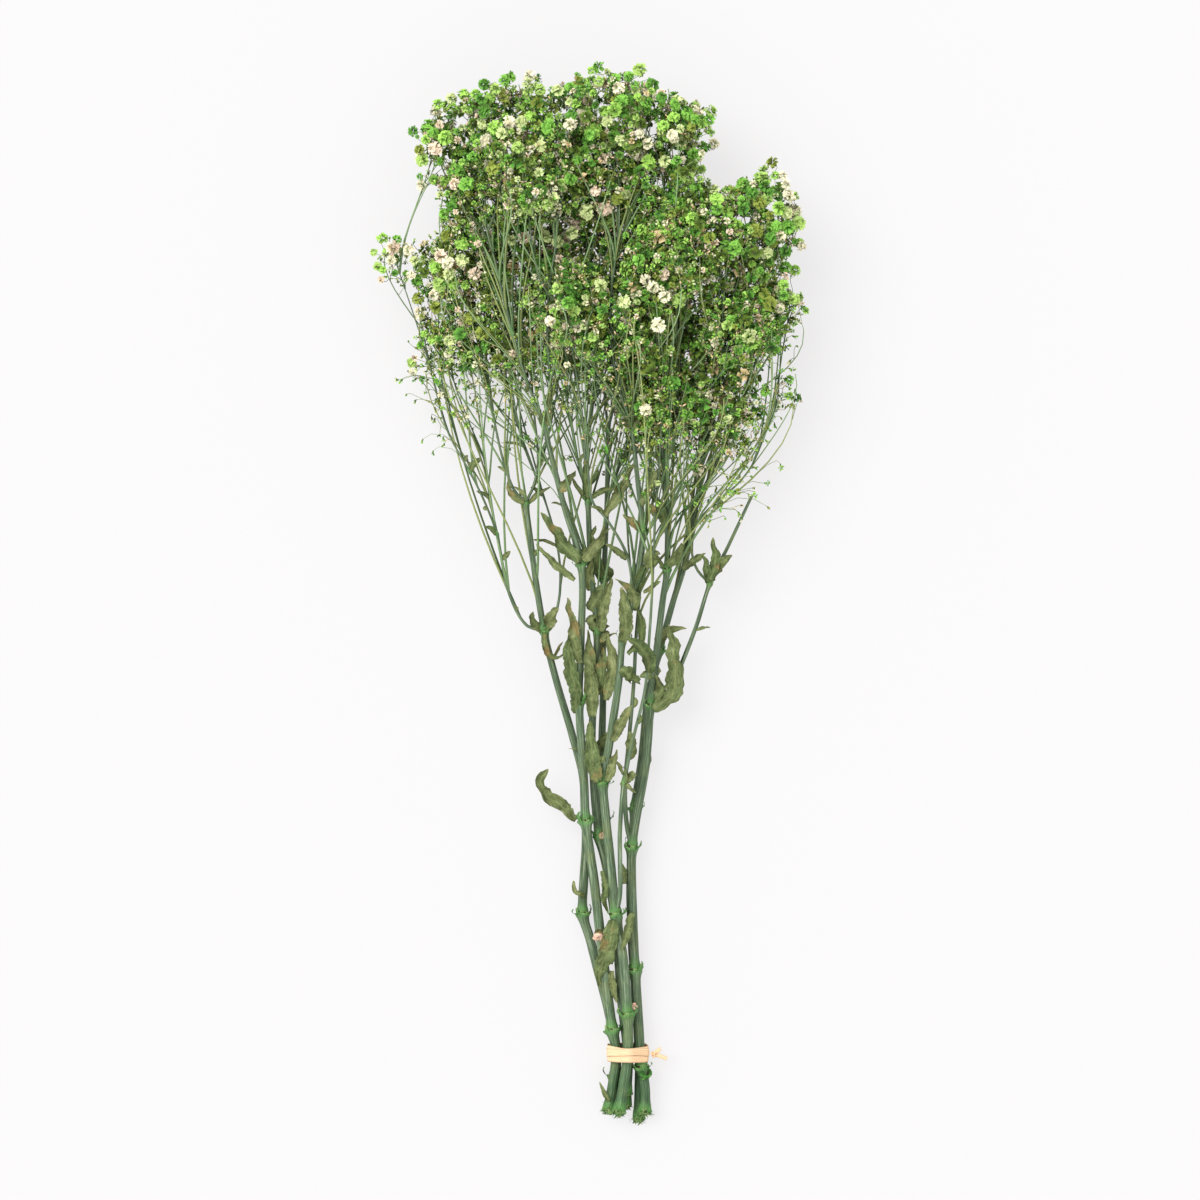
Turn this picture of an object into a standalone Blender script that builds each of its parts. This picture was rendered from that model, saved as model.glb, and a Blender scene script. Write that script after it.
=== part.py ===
"""A tied bunch of preserved gypsophila (baby's breath) lying on a flat surface.

Seven cut stems are held by a raffia tie near their cut ends and fan out into a broad head of
small double flowers.  Each stem is one solid with the branches that grew from it, each large
leaf is one solid, and each bloom cloud is the space that one spray of flowers fills.

Frame: metres, +Z up, the surface is Z = 0, +Y points from the cut ends to the flowers and the
origin is under the middle of the bunch.  The tables below are in millimetres.
"""
import math

import bmesh
import bpy
from mathutils import Vector, noise

MM = 0.001                  # the tables are in millimetres, the scene in metres
GAP = 0.35                  # clearance between pieces that touch
SHIFT = Vector((-1.1, -0.4, 0.0))   # moves the tables so that the footprint is centred

TRUNK_SIDES = 8
BRANCH_SIDES = 5
TRUNK_STEP = 20.0           # spacing of the rings along a trunk
BRANCH_STEP = 19.0          # and along a branch
NODE_SWELL = 1.38           # a swollen joint, as a multiple of the stem's radius
NODE_HALF = 3.6             # half the length of a swollen joint
NODE_MARGIN = 0.12          # share of a segment kept free of other rings beside a joint

TIE_Y = -260.0              # middle of the tie
TIE_WIDTH = 9.4
TIE_THICK = 0.9
TIE_SIDES = 28
KNOT_RADIUS = 2.2
KNOT_HEIGHT = 12.0
KNOT_TAILS = ((4.5, 3.6, 1.0), (8.0, -2.2, -1.5))   # from the knot to each tail's end

LEAF_THICK = 0.6
LEAF_STATIONS = 7
LEAF_REST = 0.4             # a leaf lies this far over the stems that it crosses
LEAF_FOLD = 0.25            # how far its edges curl up, as a share of the half width

NODE = True                 # marks the route points that carry a swollen joint

# Each route runs from the cut end, or from the joint it grows out of, to the tip.
# A point is (x, y, z, radius), with NODE where the stem swells.  A branch starts with the
# name of the bloom cloud at its tip, or None where it was cut.
STEMS = {
    "stem_front_left": dict(
        trunk=(
            (10.2, -295, 9.9, 3.3), (12.5, -280, 10.5, 3.1), (15, -260, 11.3, 3.1),
            (12.7, -247, 12.6, 3.1, NODE), (7.9, -209, 12.6, 3.1), (2.3, -161, 14, 3.1),
            (-2.3, -128, 17.8, 3.1, NODE), (-3.4, -104, 18.8, 3.1), (-6.2, -60, 23, 3, NODE),
            (-5.1, -25, 26, 2.9), (-5.1, 18, 32.6, 2.9, NODE), (-14.1, 49, 35, 2.7),
            (-23.2, 85, 41, 2.5), (-25.5, 97, 43, 2.3, NODE),
        ),
        branches=(
            ("top_left", (
                (-25.5, 97, 43, 1.6), (-34, 117, 47, 1.6), (-43.6, 148, 53, 1.5, NODE),
                (-52.6, 185, 59, 1.4), (-57.7, 204, 60, 1.3), (-64.5, 230, 56, 1.1),
                (-72.4, 252, 48, 0.9),
            )),
            ("top_left_inner", (
                (-57.7, 204, 60, 1.1), (-51.5, 221, 60, 1), (-48.7, 244, 56, 0.9),
                (-47.5, 261, 52, 0.9),
            )),
            ("top_middle", (
                (-25.5, 97, 43, 1.6), (-22.1, 117, 49, 1.6), (-23.8, 145, 57, 1.5),
                (-23.2, 168, 64, 1.4), (-18.7, 201, 66, 1.2), (-15.8, 235, 60, 1),
                (-15.8, 258, 54, 0.9),
            )),
            ("upper_left", (
                (-23.2, 168, 64, 1.2), (-30, 185, 69, 1.1), (-33.4, 204, 71, 1),
                (-34, 221, 70, 0.9),
            )),
        ),
    ),
    "stem_left": dict(
        trunk=(
            (11.9, -291, 3.2, 3), (13.6, -280, 3.8, 3), (15, -260, 4.6, 3.1), (10.2, -234, 4.4, 3),
            (5.7, -217, 4.6, 3), (0, -195, 5.2, 3), (-4, -181, 5.5, 3, NODE), (-3.4, -161, 5.6, 3),
            (-2.3, -138, 6.2, 2.9), (-4, -104, 7.5, 2.8), (-10.2, -79, 10.5, 2.8),
            (-19.2, -48, 15, 2.7), (-26, -20, 19, 2.7, NODE), (-32.3, 20, 24, 2.5),
            (-36.2, 53, 28, 2.3, NODE),
        ),
        branches=(
            ("left_lobe", (
                (-26, -20, 19, 1.3), (-36.8, -16, 20, 1.3), (-46.4, 3, 22, 1.3),
                (-50.9, 26, 23, 1.3), (-52.6, 35, 24, 1.2, NODE), (-60, 54, 25, 1.2),
                (-67.9, 70, 26, 1.1, NODE), (-80.9, 94, 28, 1), (-91.7, 134, 31, 0.9),
                (-100.7, 162, 33, 0.8), (-107.5, 182, 34, 0.8),
            )),
            ("low_left", (
                (-52.6, 35, 24, 1.1), (-56.6, 54, 23, 1.1), (-60, 77, 22, 1), (-67.9, 97, 21, 0.9),
                (-76.4, 119, 20, 0.9), (-80.9, 139, 20, 0.8),
            )),
            ("left", (
                (-36.2, 53, 28, 1.4), (-43, 60, 28, 1.4), (-49.2, 77, 29, 1.3),
                (-54.3, 100, 30, 1.2), (-59.4, 128, 30, 1.1), (-65.7, 156, 29, 1),
                (-70.2, 176, 28, 0.9),
            )),
            ("left_inner", (
                (-36.2, 53, 28, 1.4), (-31.7, 63, 28, 1.4), (-29.4, 77, 28, 1.3),
                (-31.7, 105, 28, 1.2), (-34, 139, 27, 1.1), (-34.5, 173, 27, 1),
                (-34.5, 187, 27, 0.9),
            )),
            ("lower_left", (
                (-26, -20, 19, 1.2), (-20.9, -14, 19, 1.2), (-17, 3, 20, 1.2),
                (-18.1, 26, 22, 1.1), (-25.5, 54, 24, 1.1), (-38.5, 88, 24, 1),
                (-48.1, 128, 24, 0.9), (-50.9, 145, 24, 0.8),
            )),
        ),
    ),
    "stem_middle_back": dict(
        trunk=(
            (20.4, -285, 10.4, 3.1), (21.5, -260, 11.3, 3.1), (18.1, -229, 10.8, 3),
            (15.8, -200, 10.3, 2.9), (13, -175, 10, 2.9), (8.5, -151, 10.6, 2.8),
            (5.1, -137, 11.4, 2.8, NODE), (2.3, -110, 13.6, 2.8), (1.1, -82, 15, 2.7),
            (2.3, -53, 18, 2.7), (4, -20, 22, 2.6, NODE), (0.6, 15, 27, 2.5),
            (-1.1, 54, 33, 2.3, NODE), (-2.8, 88, 37, 2.1),
        ),
        branches=(
            ("upper_middle", (
                (-2.8, 88, 37, 1.5), (-5.7, 111, 40, 1.4), (-10.2, 139, 42, 1.3),
                (-5.7, 168, 42, 1.2), (1.1, 196, 40, 1.1), (3.4, 221, 38, 0.9),
            )),
            ("centre_back", (
                (-2.8, 88, 37, 1.4), (1.7, 111, 36, 1.3), (4.5, 139, 32, 1.2), (5.7, 173, 28, 1),
                (5.7, 187, 27, 0.9),
            )),
            ("lower_middle", (
                (-1.1, 54, 33, 1.3), (-6.8, 77, 31, 1.2), (-13, 111, 28, 1.1),
                (-16.4, 142, 25, 0.9),
            )),
        ),
    ),
    "stem_front_centre": dict(
        trunk=(
            (16.4, -295, 16.6, 3.3), (18.7, -280, 17.2, 3.1), (21.5, -260, 17.9, 3.1),
            (21.5, -238, 18.5, 3.1, NODE), (18.7, -206, 18, 3.1), (14.7, -181, 18.4, 3.1, NODE),
            (11.3, -149, 20, 3.1), (7.9, -115, 21.6, 3.1), (7.4, -106, 22.2, 3, NODE),
            (11.3, -82, 25, 2.9), (16.4, -48, 29, 2.8), (18.7, -24, 32, 2.8, NODE),
            (24.9, 1, 36, 2.7), (29.4, 29, 41, 2.6), (30, 37, 43, 2.5, NODE), (26.6, 68, 49, 2.2),
            (23.8, 94, 54, 2, NODE),
        ),
        branches=(
            ("top_right_inner", (
                (23.8, 94, 54, 1.4), (18.1, 111, 58, 1.3), (12.5, 139, 62, 1.2),
                (12.5, 173, 64, 1.2), (15.8, 201, 62, 1.1), (16.4, 230, 58, 1),
                (11.9, 267, 52, 0.8),
            )),
            ("front_centre", (
                (23.8, 94, 54, 1.4), (24.9, 111, 60, 1.3), (22.6, 131, 66, 1.1),
                (20.9, 142, 68, 0.9),
            )),
            ("front_left_centre", (
                (24.9, 1, 36, 1.4), (20.9, 23, 41, 1.4), (9.6, 43, 46, 1.3), (1.1, 54, 50, 1.3),
                (-1.7, 83, 55, 1.2), (-5.7, 111, 60, 1.1), (-9.6, 139, 66, 1),
                (-11.9, 151, 68, 0.9),
            )),
            ("front_upper_right", (
                (14.7, -181, 18.4, 1.6), (17, -169, 22.5, 1.6), (17, -149, 24.4, 1.6),
                (17, -132, 25.4, 1.6), (19.2, -106, 27, 1.7, NODE), (24.9, -79, 30, 1.3),
                (31.1, -53, 34.5, 1.3), (33.4, -25, 38, 1.3), (35.1, 3, 44, 1.3),
                (36.8, 43, 52, 1.2), (39.6, 83, 60, 1.1), (43, 122, 66, 1), (44.1, 168, 69, 0.9),
            )),
        ),
    ),
    "stem_right": dict(
        trunk=(
            (31.1, -296, 9.9, 3.4), (31.1, -280, 10.6, 3.2), (28.3, -260, 11.3, 3.1),
            (27.2, -240, 11.1, 3.1), (25.5, -213, 11.3, 3.1, NODE), (23.8, -172, 12, 3.1),
            (23.8, -143, 14, 3.1, NODE), (27.2, -121, 15.6, 3), (31.7, -96, 17.6, 3),
            (34.5, -62, 21, 3, NODE), (37.9, -31, 26, 2.8), (41.3, -2, 31, 2.7),
            (43.6, 15, 34, 2.6, NODE), (43.6, 49, 40, 2.4), (41.3, 77, 45, 2.1, NODE),
        ),
        branches=(
            ("front_low", (
                (41.3, 77, 45, 1.4), (39.6, 94, 50, 1.3), (36.8, 111, 56, 1.2), (36.8, 119, 58, 1),
            )),
            ("top_right", (
                (41.3, 77, 45, 1.4), (47.5, 100, 48, 1.3), (50.9, 134, 48, 1.2),
                (48.7, 168, 46, 1.1), (44.1, 201, 46, 1), (41.9, 224, 48, 0.9),
                (41.9, 247, 50, 0.8),
            )),
            ("low_centre_right", (
                (23.8, -143, 14, 1.7), (20.9, -130, 16, 1.7), (19.8, -110, 18, 1.7),
                (22.6, -76, 21, 1.6), (24.9, -48, 25, 1.6), (26, -25, 28, 1.6), (28.3, 3, 30, 1.5),
                (31.7, 43, 34, 1.4), (35.1, 88, 36, 1.2), (39.6, 122, 36, 1.1),
                (44.1, 145, 34, 0.9),
            )),
            (None, (
                (34.5, -62, 21, 1.8), (45.3, -53, 21, 1.8), (52.1, -38, 22, 1.9),
                (60.6, -16, 24, 1.9), (67.9, 7, 28, 2, NODE), (78.1, 28, 32, 1.9),
                (91.7, 57, 36, 1.9),
            )),
            ("right_sprig", (
                (67.9, 7, 28, 1.2), (60.6, 15, 29.5, 1.2), (57.7, 26, 31, 1.1),
                (60.6, 41, 32.5, 1.1), (72.4, 54, 32.5, 1.1), (83.2, 63, 32, 1), (91.7, 74, 32, 1),
                (99, 91, 33, 0.9), (104.1, 104, 34, 0.8),
            )),
        ),
    ),
    "stem_back_left": dict(
        trunk=(
            (20.1, -292, 3.2, 3), (21.5, -260, 4.6, 3.1), (18.1, -229, 4.2, 3),
            (16.4, -195, 3.6, 2.9), (11.9, -155, 3.4, 2.8), (7.9, -127, 4.3, 2.8, NODE),
            (6.8, -93, 5, 2.7), (7.4, -59, 9, 2.6), (7.4, -25, 14, 2.5), (7.9, 9, 19, 2.4, NODE),
            (9.6, 54, 25, 2.2), (10.2, 94, 30, 2, NODE),
        ),
        branches=(
            ("centre_right_back", (
                (10.2, 94, 30, 1.4), (15.8, 117, 31, 1.3), (21.5, 145, 30, 1.2),
                (26, 173, 28, 1.1), (28.3, 187, 27, 0.9),
            )),
            ("low_centre", (
                (10.2, 94, 30, 1.4), (7.9, 117, 27, 1.2), (5.7, 134, 24, 1),
            )),
            ("low_right_centre", (
                (9.6, 54, 25, 1.4), (18.1, 77, 24, 1.3), (28.3, 100, 22, 1.1),
                (35.1, 117, 20, 0.9),
            )),
        ),
    ),
    "stem_back_right": dict(
        trunk=(
            (27.5, -300, 3.1, 3), (28.3, -260, 4.6, 3.1), (26.6, -229, 4.2, 3),
            (24.3, -200, 3.5, 2.9), (23.2, -161, 3.6, 2.8), (25.5, -121, 4.8, 2.8, NODE),
            (29.4, -93, 6.5, 2.7), (32.8, -59, 10, 2.7), (39.6, -31, 14, 2.6, NODE),
            (47.5, -2, 19, 2.5), (54.3, 20, 23, 2.4), (60.6, 54, 26.5, 2.2, NODE),
            (64.5, 88, 33, 2, NODE),
        ),
        branches=(
            ("right_lobe", (
                (64.5, 88, 33, 1.5), (69.1, 111, 40, 1.4), (74.7, 136, 47, 1.3, NODE),
                (83.8, 151, 50, 1.1), (88.3, 173, 52, 1), (94.5, 199, 50, 0.8),
            )),
            ("upper_right", (
                (74.7, 136, 47, 1.1), (74.7, 156, 54, 1), (73.6, 179, 58, 0.9),
                (72.4, 190, 60, 0.8),
            )),
            ("right_middle", (
                (64.5, 88, 33, 1.4), (62.3, 111, 30, 1.2), (60, 131, 27, 0.9),
            )),
            ("right", (
                (60.6, 54, 26.5, 1.4), (73.6, 80, 28, 1.4), (86, 111, 29, 1.3),
                (93.4, 139, 30, 1.1), (96.2, 156, 31, 0.9),
            )),
            ("low_right", (
                (64.5, 88, 33, 1.3), (70.8, 91, 40, 1.2), (74.1, 97, 47, 0.9),
            )),
        ),
    ),
}

# Bloom clouds: centre (x, y, z), reach in plan, reach in height, and whether it lies on top.
BLOOMS = {
    "top_left": (-74, 258, 44, 25, 27, True),
    "top_left_inner": (-47, 268, 50, 25, 29, True),
    "top_middle": (-16, 267, 52, 25, 29, True),
    "top_right_inner": (12, 274, 52, 26, 29, True),
    "top_right": (42, 262, 50, 28, 30, True),
    "upper_left_inner": (-63, 224, 48, 24, 26, True),
    "upper_left": (-34, 234, 70, 26, 26, True),
    "upper_middle": (4, 237, 36, 28, 36, True),
    "upper_right_inner": (42, 225, 42, 25, 32, True),
    "upper_right": (70, 204, 60, 24, 26, True),
    "right_lobe": (95, 213, 48, 26, 29, True),
    "right": (95.5, 167, 34, 25.5, 29, True),
    "right_inner": (82, 150, 60, 22, 24, True),
    "right_middle": (62, 140, 26, 24, 26, False),
    "right_sprig": (107, 113, 34, 13, 12, False),
    "left_lobe": (-107.5, 189, 34, 15, 15, True),
    "low_left": (-80, 150, 22, 23, 22, True),
    "left": (-70, 189, 30, 26, 31, True),
    "left_inner": (-34.5, 196, 30, 27, 31, False),
    "lower_left": (-51, 148, 26, 27, 27, True),
    "centre_back": (0, 196, 28, 26, 28, False),
    "centre_right_back": (31, 196, 27, 25, 28, False),
    "lower_middle": (-17, 150, 26, 26, 27, False),
    "low_centre": (6, 138, 22, 20, 20, False),
    "low_centre_right": (45, 155, 30, 25, 26, False),
    "low_right_centre": (37, 119, 20, 24, 20, False),
    "low_right": (76, 103, 46, 23, 22, True),
    "front_low": (40, 112, 56, 25, 24, True),
    "front_centre": (21, 150, 70, 23, 24, True),
    "front_left_centre": (-12, 165, 70, 26, 25, True),
    "front_upper_right": (44, 188, 70, 27, 26, True),
}
BLOOM_LUMP = 0.30           # depth of the lumps on a cloud, as a share of its reach
BLOOM_LUMP_SCALE = 2.6      # how many lumps there are

# Leaves: full width, then points (x, y, least z) from the stem to the tip.
LEAVES = {
    "leaf_low_left_folded": (7.5, (
        (-7.7, -127, 17.5), (-16, -120, 15), (-25, -113, 13), (-28, -105, 14), (-24, -98, 18),
    )),
    "leaf_low_front": (8, ((13.5, -184, 20), (11, -197, 18), (7.5, -209, 14), (4, -222, 12))),
    "leaf_low_narrow": (3.5, ((12.4, -213, 14.5), (13, -222, 15), (15, -231, 15))),
    "leaf_low_right": (4.5, ((24, -180, 14), (21, -192, 14), (18.5, -201, 16))),
    "leaf_centre_left": (7, ((5, -106, 24), (2, -94, 24), (0.5, -80, 22), (0, -71, 20))),
    "leaf_centre_right": (5, ((9.8, -105, 24), (13, -97, 25), (15.5, -87, 26))),
    "leaf_right_large": (8.5, (
        (35.6, -64, 23), (42.5, -60, 24), (48.5, -49, 25), (47.5, -33, 26), (44.5, -16, 28),
    )),
    "leaf_left_ragged": (7, ((-7, -59, 26), (-10, -45, 25), (-12, -31, 23), (-11, -20, 22))),
    "leaf_left_upper_ragged": (6, ((-5.5, -38, 28), (-9, -22, 30), (-12, -8, 30), (-13, -1, 30))),
    "leaf_dark_folded": (6.5, ((17.3, -41.5, 30), (23, -45.5, 30), (28.5, -50, 30))),
    "leaf_pale_tip": (5.5, ((12.2, -82, 28), (18, -71, 29), (23.5, -62, 31))),
    "leaf_front_centre": (6.5, ((18.5, -26, 35), (20.5, -16, 36), (20, -5, 37), (18, 5, 38))),
    "leaf_pale_left": (7, ((-6, 19, 35), (-14, 28, 36), (-22, 38, 37), (-28, 47, 40))),
    "leaf_upper_right": (6, ((-4, 20, 36), (1.5, 27, 38), (6, 33, 40), (8, 40, 42))),
    "leaf_narrow_left": (3.5, (
        (-8.6, 9, 31), (-16, 15, 29), (-24, 22, 27), (-30.5, 29.5, 28),
    )),
    "leaf_left_curled": (3.5, ((-26, -20.5, 20), (-25, -31, 16), (-20, -35, 14), (-13, -33, 15))),
    "leaf_upper_centre": (4.5, ((29, 51, 46), (33, 60, 49), (38, 71, 51))),
    "leaf_right_node": (6, ((44, 17, 36), (48.5, 23, 38), (51.5, 30, 41))),
    "leaf_far_right": (4.5, ((68.3, 9, 30), (71, 19, 33), (69.5, 33, 37))),
}


# ---------------------------------------------------------------- scene and materials

def clear_scene():
    for obj in list(bpy.data.objects):
        bpy.data.objects.remove(obj, do_unlink=True)


def make_material(name, colour, roughness):
    material = bpy.data.materials.new(name)
    material.use_nodes = True
    shader = material.node_tree.nodes["Principled BSDF"]
    shader.inputs["Base Color"].default_value = (*colour, 1.0)
    shader.inputs["Roughness"].default_value = roughness
    shader.inputs["Metallic"].default_value = 0.0
    return material


def add_object(name, mesh, material, smooth=True):
    obj = bpy.data.objects.new(name, mesh)
    bpy.context.scene.collection.objects.link(obj)
    mesh.materials.append(material)
    if smooth:
        mesh.shade_smooth()
        mesh.set_sharp_from_angle(angle=math.radians(50))
    return obj


def to_mesh(name, bm):
    """Finish a bmesh in millimetres as a mesh in metres with its faces pointing out."""
    bmesh.ops.recalc_face_normals(bm, faces=bm.faces)
    for vert in bm.verts:
        vert.co = (vert.co + SHIFT) * MM
    mesh = bpy.data.meshes.new(name)
    bm.to_mesh(mesh)
    bm.free()
    return mesh


# ---------------------------------------------------------------- routes and tubes

def route_at(route, place):
    """Position and radius at a place on the smooth curve through a route's points.

    The whole part of place is the segment and its fraction the way along it.
    """
    last = len(route) - 1
    i = min(int(place), last - 1)
    t = place - i
    p1, p2 = (Vector(route[k][:3]) for k in (i, i + 1))
    length = (p2 - p1).length
    start = end = p2 - p1
    if i > 0:
        p0 = Vector(route[i - 1][:3])
        start = (p2 - p0) * length / ((p1 - p0).length + length)
    if i + 1 < last:
        p3 = Vector(route[i + 2][:3])
        end = (p3 - p1) * length / ((p3 - p2).length + length)
    t2, t3 = t * t, t * t * t
    position = ((2 * t3 - 3 * t2 + 1) * p1 + (t3 - 2 * t2 + t) * start
                + (3 * t2 - 2 * t3) * p2 + (t3 - t2) * end)
    radius = route[i][3] + (route[i + 1][3] - route[i][3]) * t
    return position, radius


def segment_length(route, i):
    return (Vector(route[i + 1][:3]) - Vector(route[i][:3])).length


def ring_stations(route, step):
    """Rings (position, radius) along a route, closer together round its swollen joints."""
    last = len(route) - 1
    places = []
    for i in range(last):
        count = max(1, round(segment_length(route, i) / step))
        places += [(i + k / count, 1.0) for k in range(count)]
    places.append((last, 1.0))
    for i, stop in enumerate(route):
        if len(stop) < 5 or i == 0:
            continue
        before = i - NODE_HALF / segment_length(route, i - 1)
        after = i + NODE_HALF / segment_length(route, i) if i < last else None
        low, high = before - NODE_MARGIN, (after or i) + NODE_MARGIN
        places = [p for p in places if not low < p[0] < high]
        places += [(before, 1.0), (float(i), NODE_SWELL)]
        if after:
            places.append((after, 1.0))
    rings = []
    for place, swell in sorted(places):
        position, radius = route_at(route, place)
        rings.append((position, radius * swell))
    return rings


def tube(rings, sides, grow=0.0):
    """A closed tube through the rings, its radius and both ends grown by grow."""
    points = [position.copy() for position, _ in rings]
    radii = [radius + grow / math.cos(math.pi / sides) for _, radius in rings]
    points[0] -= (points[1] - points[0]).normalized() * grow
    points[-1] += (points[-1] - points[-2]).normalized() * grow
    bm = bmesh.new()
    side = None
    loops = []
    for i, centre in enumerate(points):
        along = (points[min(i + 1, len(points) - 1)] - points[max(i - 1, 0)]).normalized()
        if side is None:
            side = along.orthogonal().normalized()
        side = (side - along * side.dot(along)).normalized()
        up = along.cross(side)
        loops.append([
            bm.verts.new(centre + radii[i] * (side * math.cos(a) + up * math.sin(a)))
            for a in (2 * math.pi * k / sides for k in range(sides))
        ])
    for first, second in zip(loops, loops[1:]):
        for k in range(sides):
            n = (k + 1) % sides
            bm.faces.new((first[k], first[n], second[n], second[k]))
    bm.faces.new(loops[0][::-1])
    bm.faces.new(loops[-1])
    return bm


def strands_of(stem):
    """The stem's trunk and branches: (rings, sides)."""
    trunk = ring_stations(stem["trunk"], TRUNK_STEP)
    yield trunk, TRUNK_SIDES
    for _, route in stem["branches"]:
        yield ring_stations(route, BRANCH_STEP), BRANCH_SIDES


# ---------------------------------------------------------------- joining and cutting

def add_guide(name, bm):
    """A hidden solid that only cuts or joins others."""
    obj = bpy.data.objects.new(name, to_mesh(name, bm))
    bpy.context.scene.collection.objects.link(obj)
    obj.hide_render = True
    obj.display_type = "WIRE"
    return obj


def combine(obj, guides, operation, solver="EXACT"):
    """Give the object one Boolean for each guide and apply them."""
    for guide in guides:
        modifier = obj.modifiers.new(guide.name, "BOOLEAN")
        modifier.operation = operation
        modifier.solver = solver
        modifier.object = guide
    depsgraph = bpy.context.evaluated_depsgraph_get()
    result = bpy.data.meshes.new_from_object(obj.evaluated_get(depsgraph))
    obj.modifiers.clear()
    obj.data = result


def keep_largest_body(obj):
    """Drop the crumbs that a cut leaves beside the main body."""
    bm = bmesh.new()
    bm.from_mesh(obj.data)
    unseen = set(bm.verts)
    bodies = []
    while unseen:
        body, edge = set(), [unseen.pop()]
        while edge:
            vert = edge.pop()
            body.add(vert)
            for link in vert.link_edges:
                other = link.other_vert(vert)
                if other in unseen:
                    unseen.remove(other)
                    edge.append(other)
        bodies.append(body)
    bodies.sort(key=len)
    for body in bodies[:-1]:
        bmesh.ops.delete(bm, geom=list(body), context="VERTS")
    bm.to_mesh(obj.data)
    bm.free()


# ---------------------------------------------------------------- stems

def build_stem(name, stem, material):
    """A trunk with its branches, joined into one solid."""
    strands = list(strands_of(stem))
    obj = add_object(name, to_mesh(name, tube(*strands[0])), material)
    guides = [
        add_guide(f"{name}_branch_{i}", tube(rings, sides))
        for i, (rings, sides) in enumerate(strands[1:])
    ]
    combine(obj, guides, "UNION")
    for guide in guides:
        bpy.data.objects.remove(guide, do_unlink=True)
    return obj


# ---------------------------------------------------------------- leaves

class Pile:
    """What already lies in the bunch, as balls: tells how high a leaf has to lie over it."""

    def __init__(self):
        self.balls = []

    def add_route(self, route):
        for i in range(len(route) - 1):
            count = max(1, round(segment_length(route, i) / 2.0))
            for k in range(count):
                position, radius = route_at(route, i + k / count)
                self.balls.append((position, radius))
        for stop in route:
            if len(stop) > 4:
                self.balls.append((Vector(stop[:3]), stop[3] * NODE_SWELL))

    def height_over(self, x, y):
        """The least height that clears everything under the point (x, y)."""
        height = LEAF_THICK
        for centre, radius in self.balls:
            reach = radius + LEAF_REST
            flat = (centre.x - x) ** 2 + (centre.y - y) ** 2
            if flat < reach * reach:
                height = max(height, centre.z + math.sqrt(reach * reach - flat))
        return height


def leaf_outline(t):
    """Half width along a leaf, as a share of the widest: a narrow foot and a pointed tip."""
    return 0.22 + 0.78 * math.sin(math.pi * min(1.0, 0.12 + 0.88 * t) ** 0.8) ** 0.8


def build_leaf(name, width, points, pile, material):
    """A thin blade that lies over whatever is under it."""
    route = [(*p, width / 2) for p in points]
    last = len(points) - 1
    stations = []
    for k in range(LEAF_STATIONS):
        t = k / (LEAF_STATIONS - 1)
        centre, half = route_at(route, t * last)
        ahead, _ = route_at(route, min(t * last + 0.05, last))
        behind, _ = route_at(route, max(t * last - 0.05, 0))
        along = Vector((ahead.x - behind.x, ahead.y - behind.y, 0)).normalized()
        across = Vector((-along.y, along.x, 0))
        half *= leaf_outline(t)
        around = [(s, u) for s in (-1, -0.5, 0, 0.5, 1) for u in (-2, 0, 2)] if k else [(0, 0)]
        lift = max(
            pile.height_over(*(centre + across * half * s + along * u).xy) for s, u in around
        )
        stations.append([centre, across, half, max(centre.z, lift)])
    bm = bmesh.new()
    loops = []
    for k, (centre, across, half, _) in enumerate(stations):
        near = stations[max(k - 1, 0):k + 2] if k else stations[:1]
        centre.z = max(station[3] for station in near)
        fold = LEAF_FOLD * half
        loops.append([
            bm.verts.new(centre + across * half + Vector((0, 0, fold))),
            bm.verts.new(centre + Vector((0, 0, LEAF_THICK))),
            bm.verts.new(centre - across * half + Vector((0, 0, fold))),
            bm.verts.new(centre),
        ])
        for s in (-0.8, -0.4, 0, 0.4, 0.8):
            pile.balls.append((centre + across * half * s, LEAF_THICK))
    for first, second in zip(loops, loops[1:]):
        for k in range(4):
            n = (k + 1) % 4
            bm.faces.new((first[k], first[n], second[n], second[k]))
    bm.faces.new(loops[0][::-1])
    bm.faces.new(loops[-1])
    return add_object(name, to_mesh(name, bm), material)


# ---------------------------------------------------------------- bloom clouds

def cloud_reach(name, direction):
    """How far a cloud reaches in a direction: lumpy, and clear of its neighbours and the floor."""
    x, y, z, plan, height, _ = BLOOMS[name]
    centre = Vector((x, y, z))
    flat = math.hypot(direction.x, direction.y) / plan
    reach = 1.0 / math.hypot(flat, direction.z / height)
    lumps = noise.noise((centre + direction * plan) * BLOOM_LUMP_SCALE / plan)
    reach *= 1.0 + BLOOM_LUMP * lumps
    for other, (ox, oy, oz, other_plan, _, _) in BLOOMS.items():
        if other == name:
            continue
        between = Vector((ox, oy, oz)) - centre
        distance = between.length
        toward = direction.dot(between / distance)
        if toward > 0.001:
            border = (distance * distance + plan * plan - other_plan * other_plan)
            border = border / (2 * distance) - GAP
            reach = min(reach, border / toward)
    if direction.z < -0.001:
        reach = min(reach, z / -direction.z)
    return reach


def build_bloom(name, cutters, material):
    x, y, z, _, _, fine = BLOOMS[name]
    bm = bmesh.new()
    if fine:
        bmesh.ops.create_uvsphere(bm, u_segments=12, v_segments=8, radius=1.0)
    else:
        bmesh.ops.create_icosphere(bm, subdivisions=2, radius=1.0)
    for vert in bm.verts:
        direction = vert.co.normalized()
        vert.co = Vector((x, y, z)) + direction * cloud_reach(name, direction)
    obj = add_object("bloom_" + name, to_mesh(name, bm), material)
    low, high = box_of(obj)
    near = [
        cutter for cutter, (cutter_low, cutter_high) in cutters
        if all(cutter_low[i] < high[i] and low[i] < cutter_high[i] for i in range(3))
    ]
    combine(obj, near, "DIFFERENCE", solver="MANIFOLD")   # EXACT misses some thin cuts
    keep_largest_body(obj)
    return obj


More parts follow.
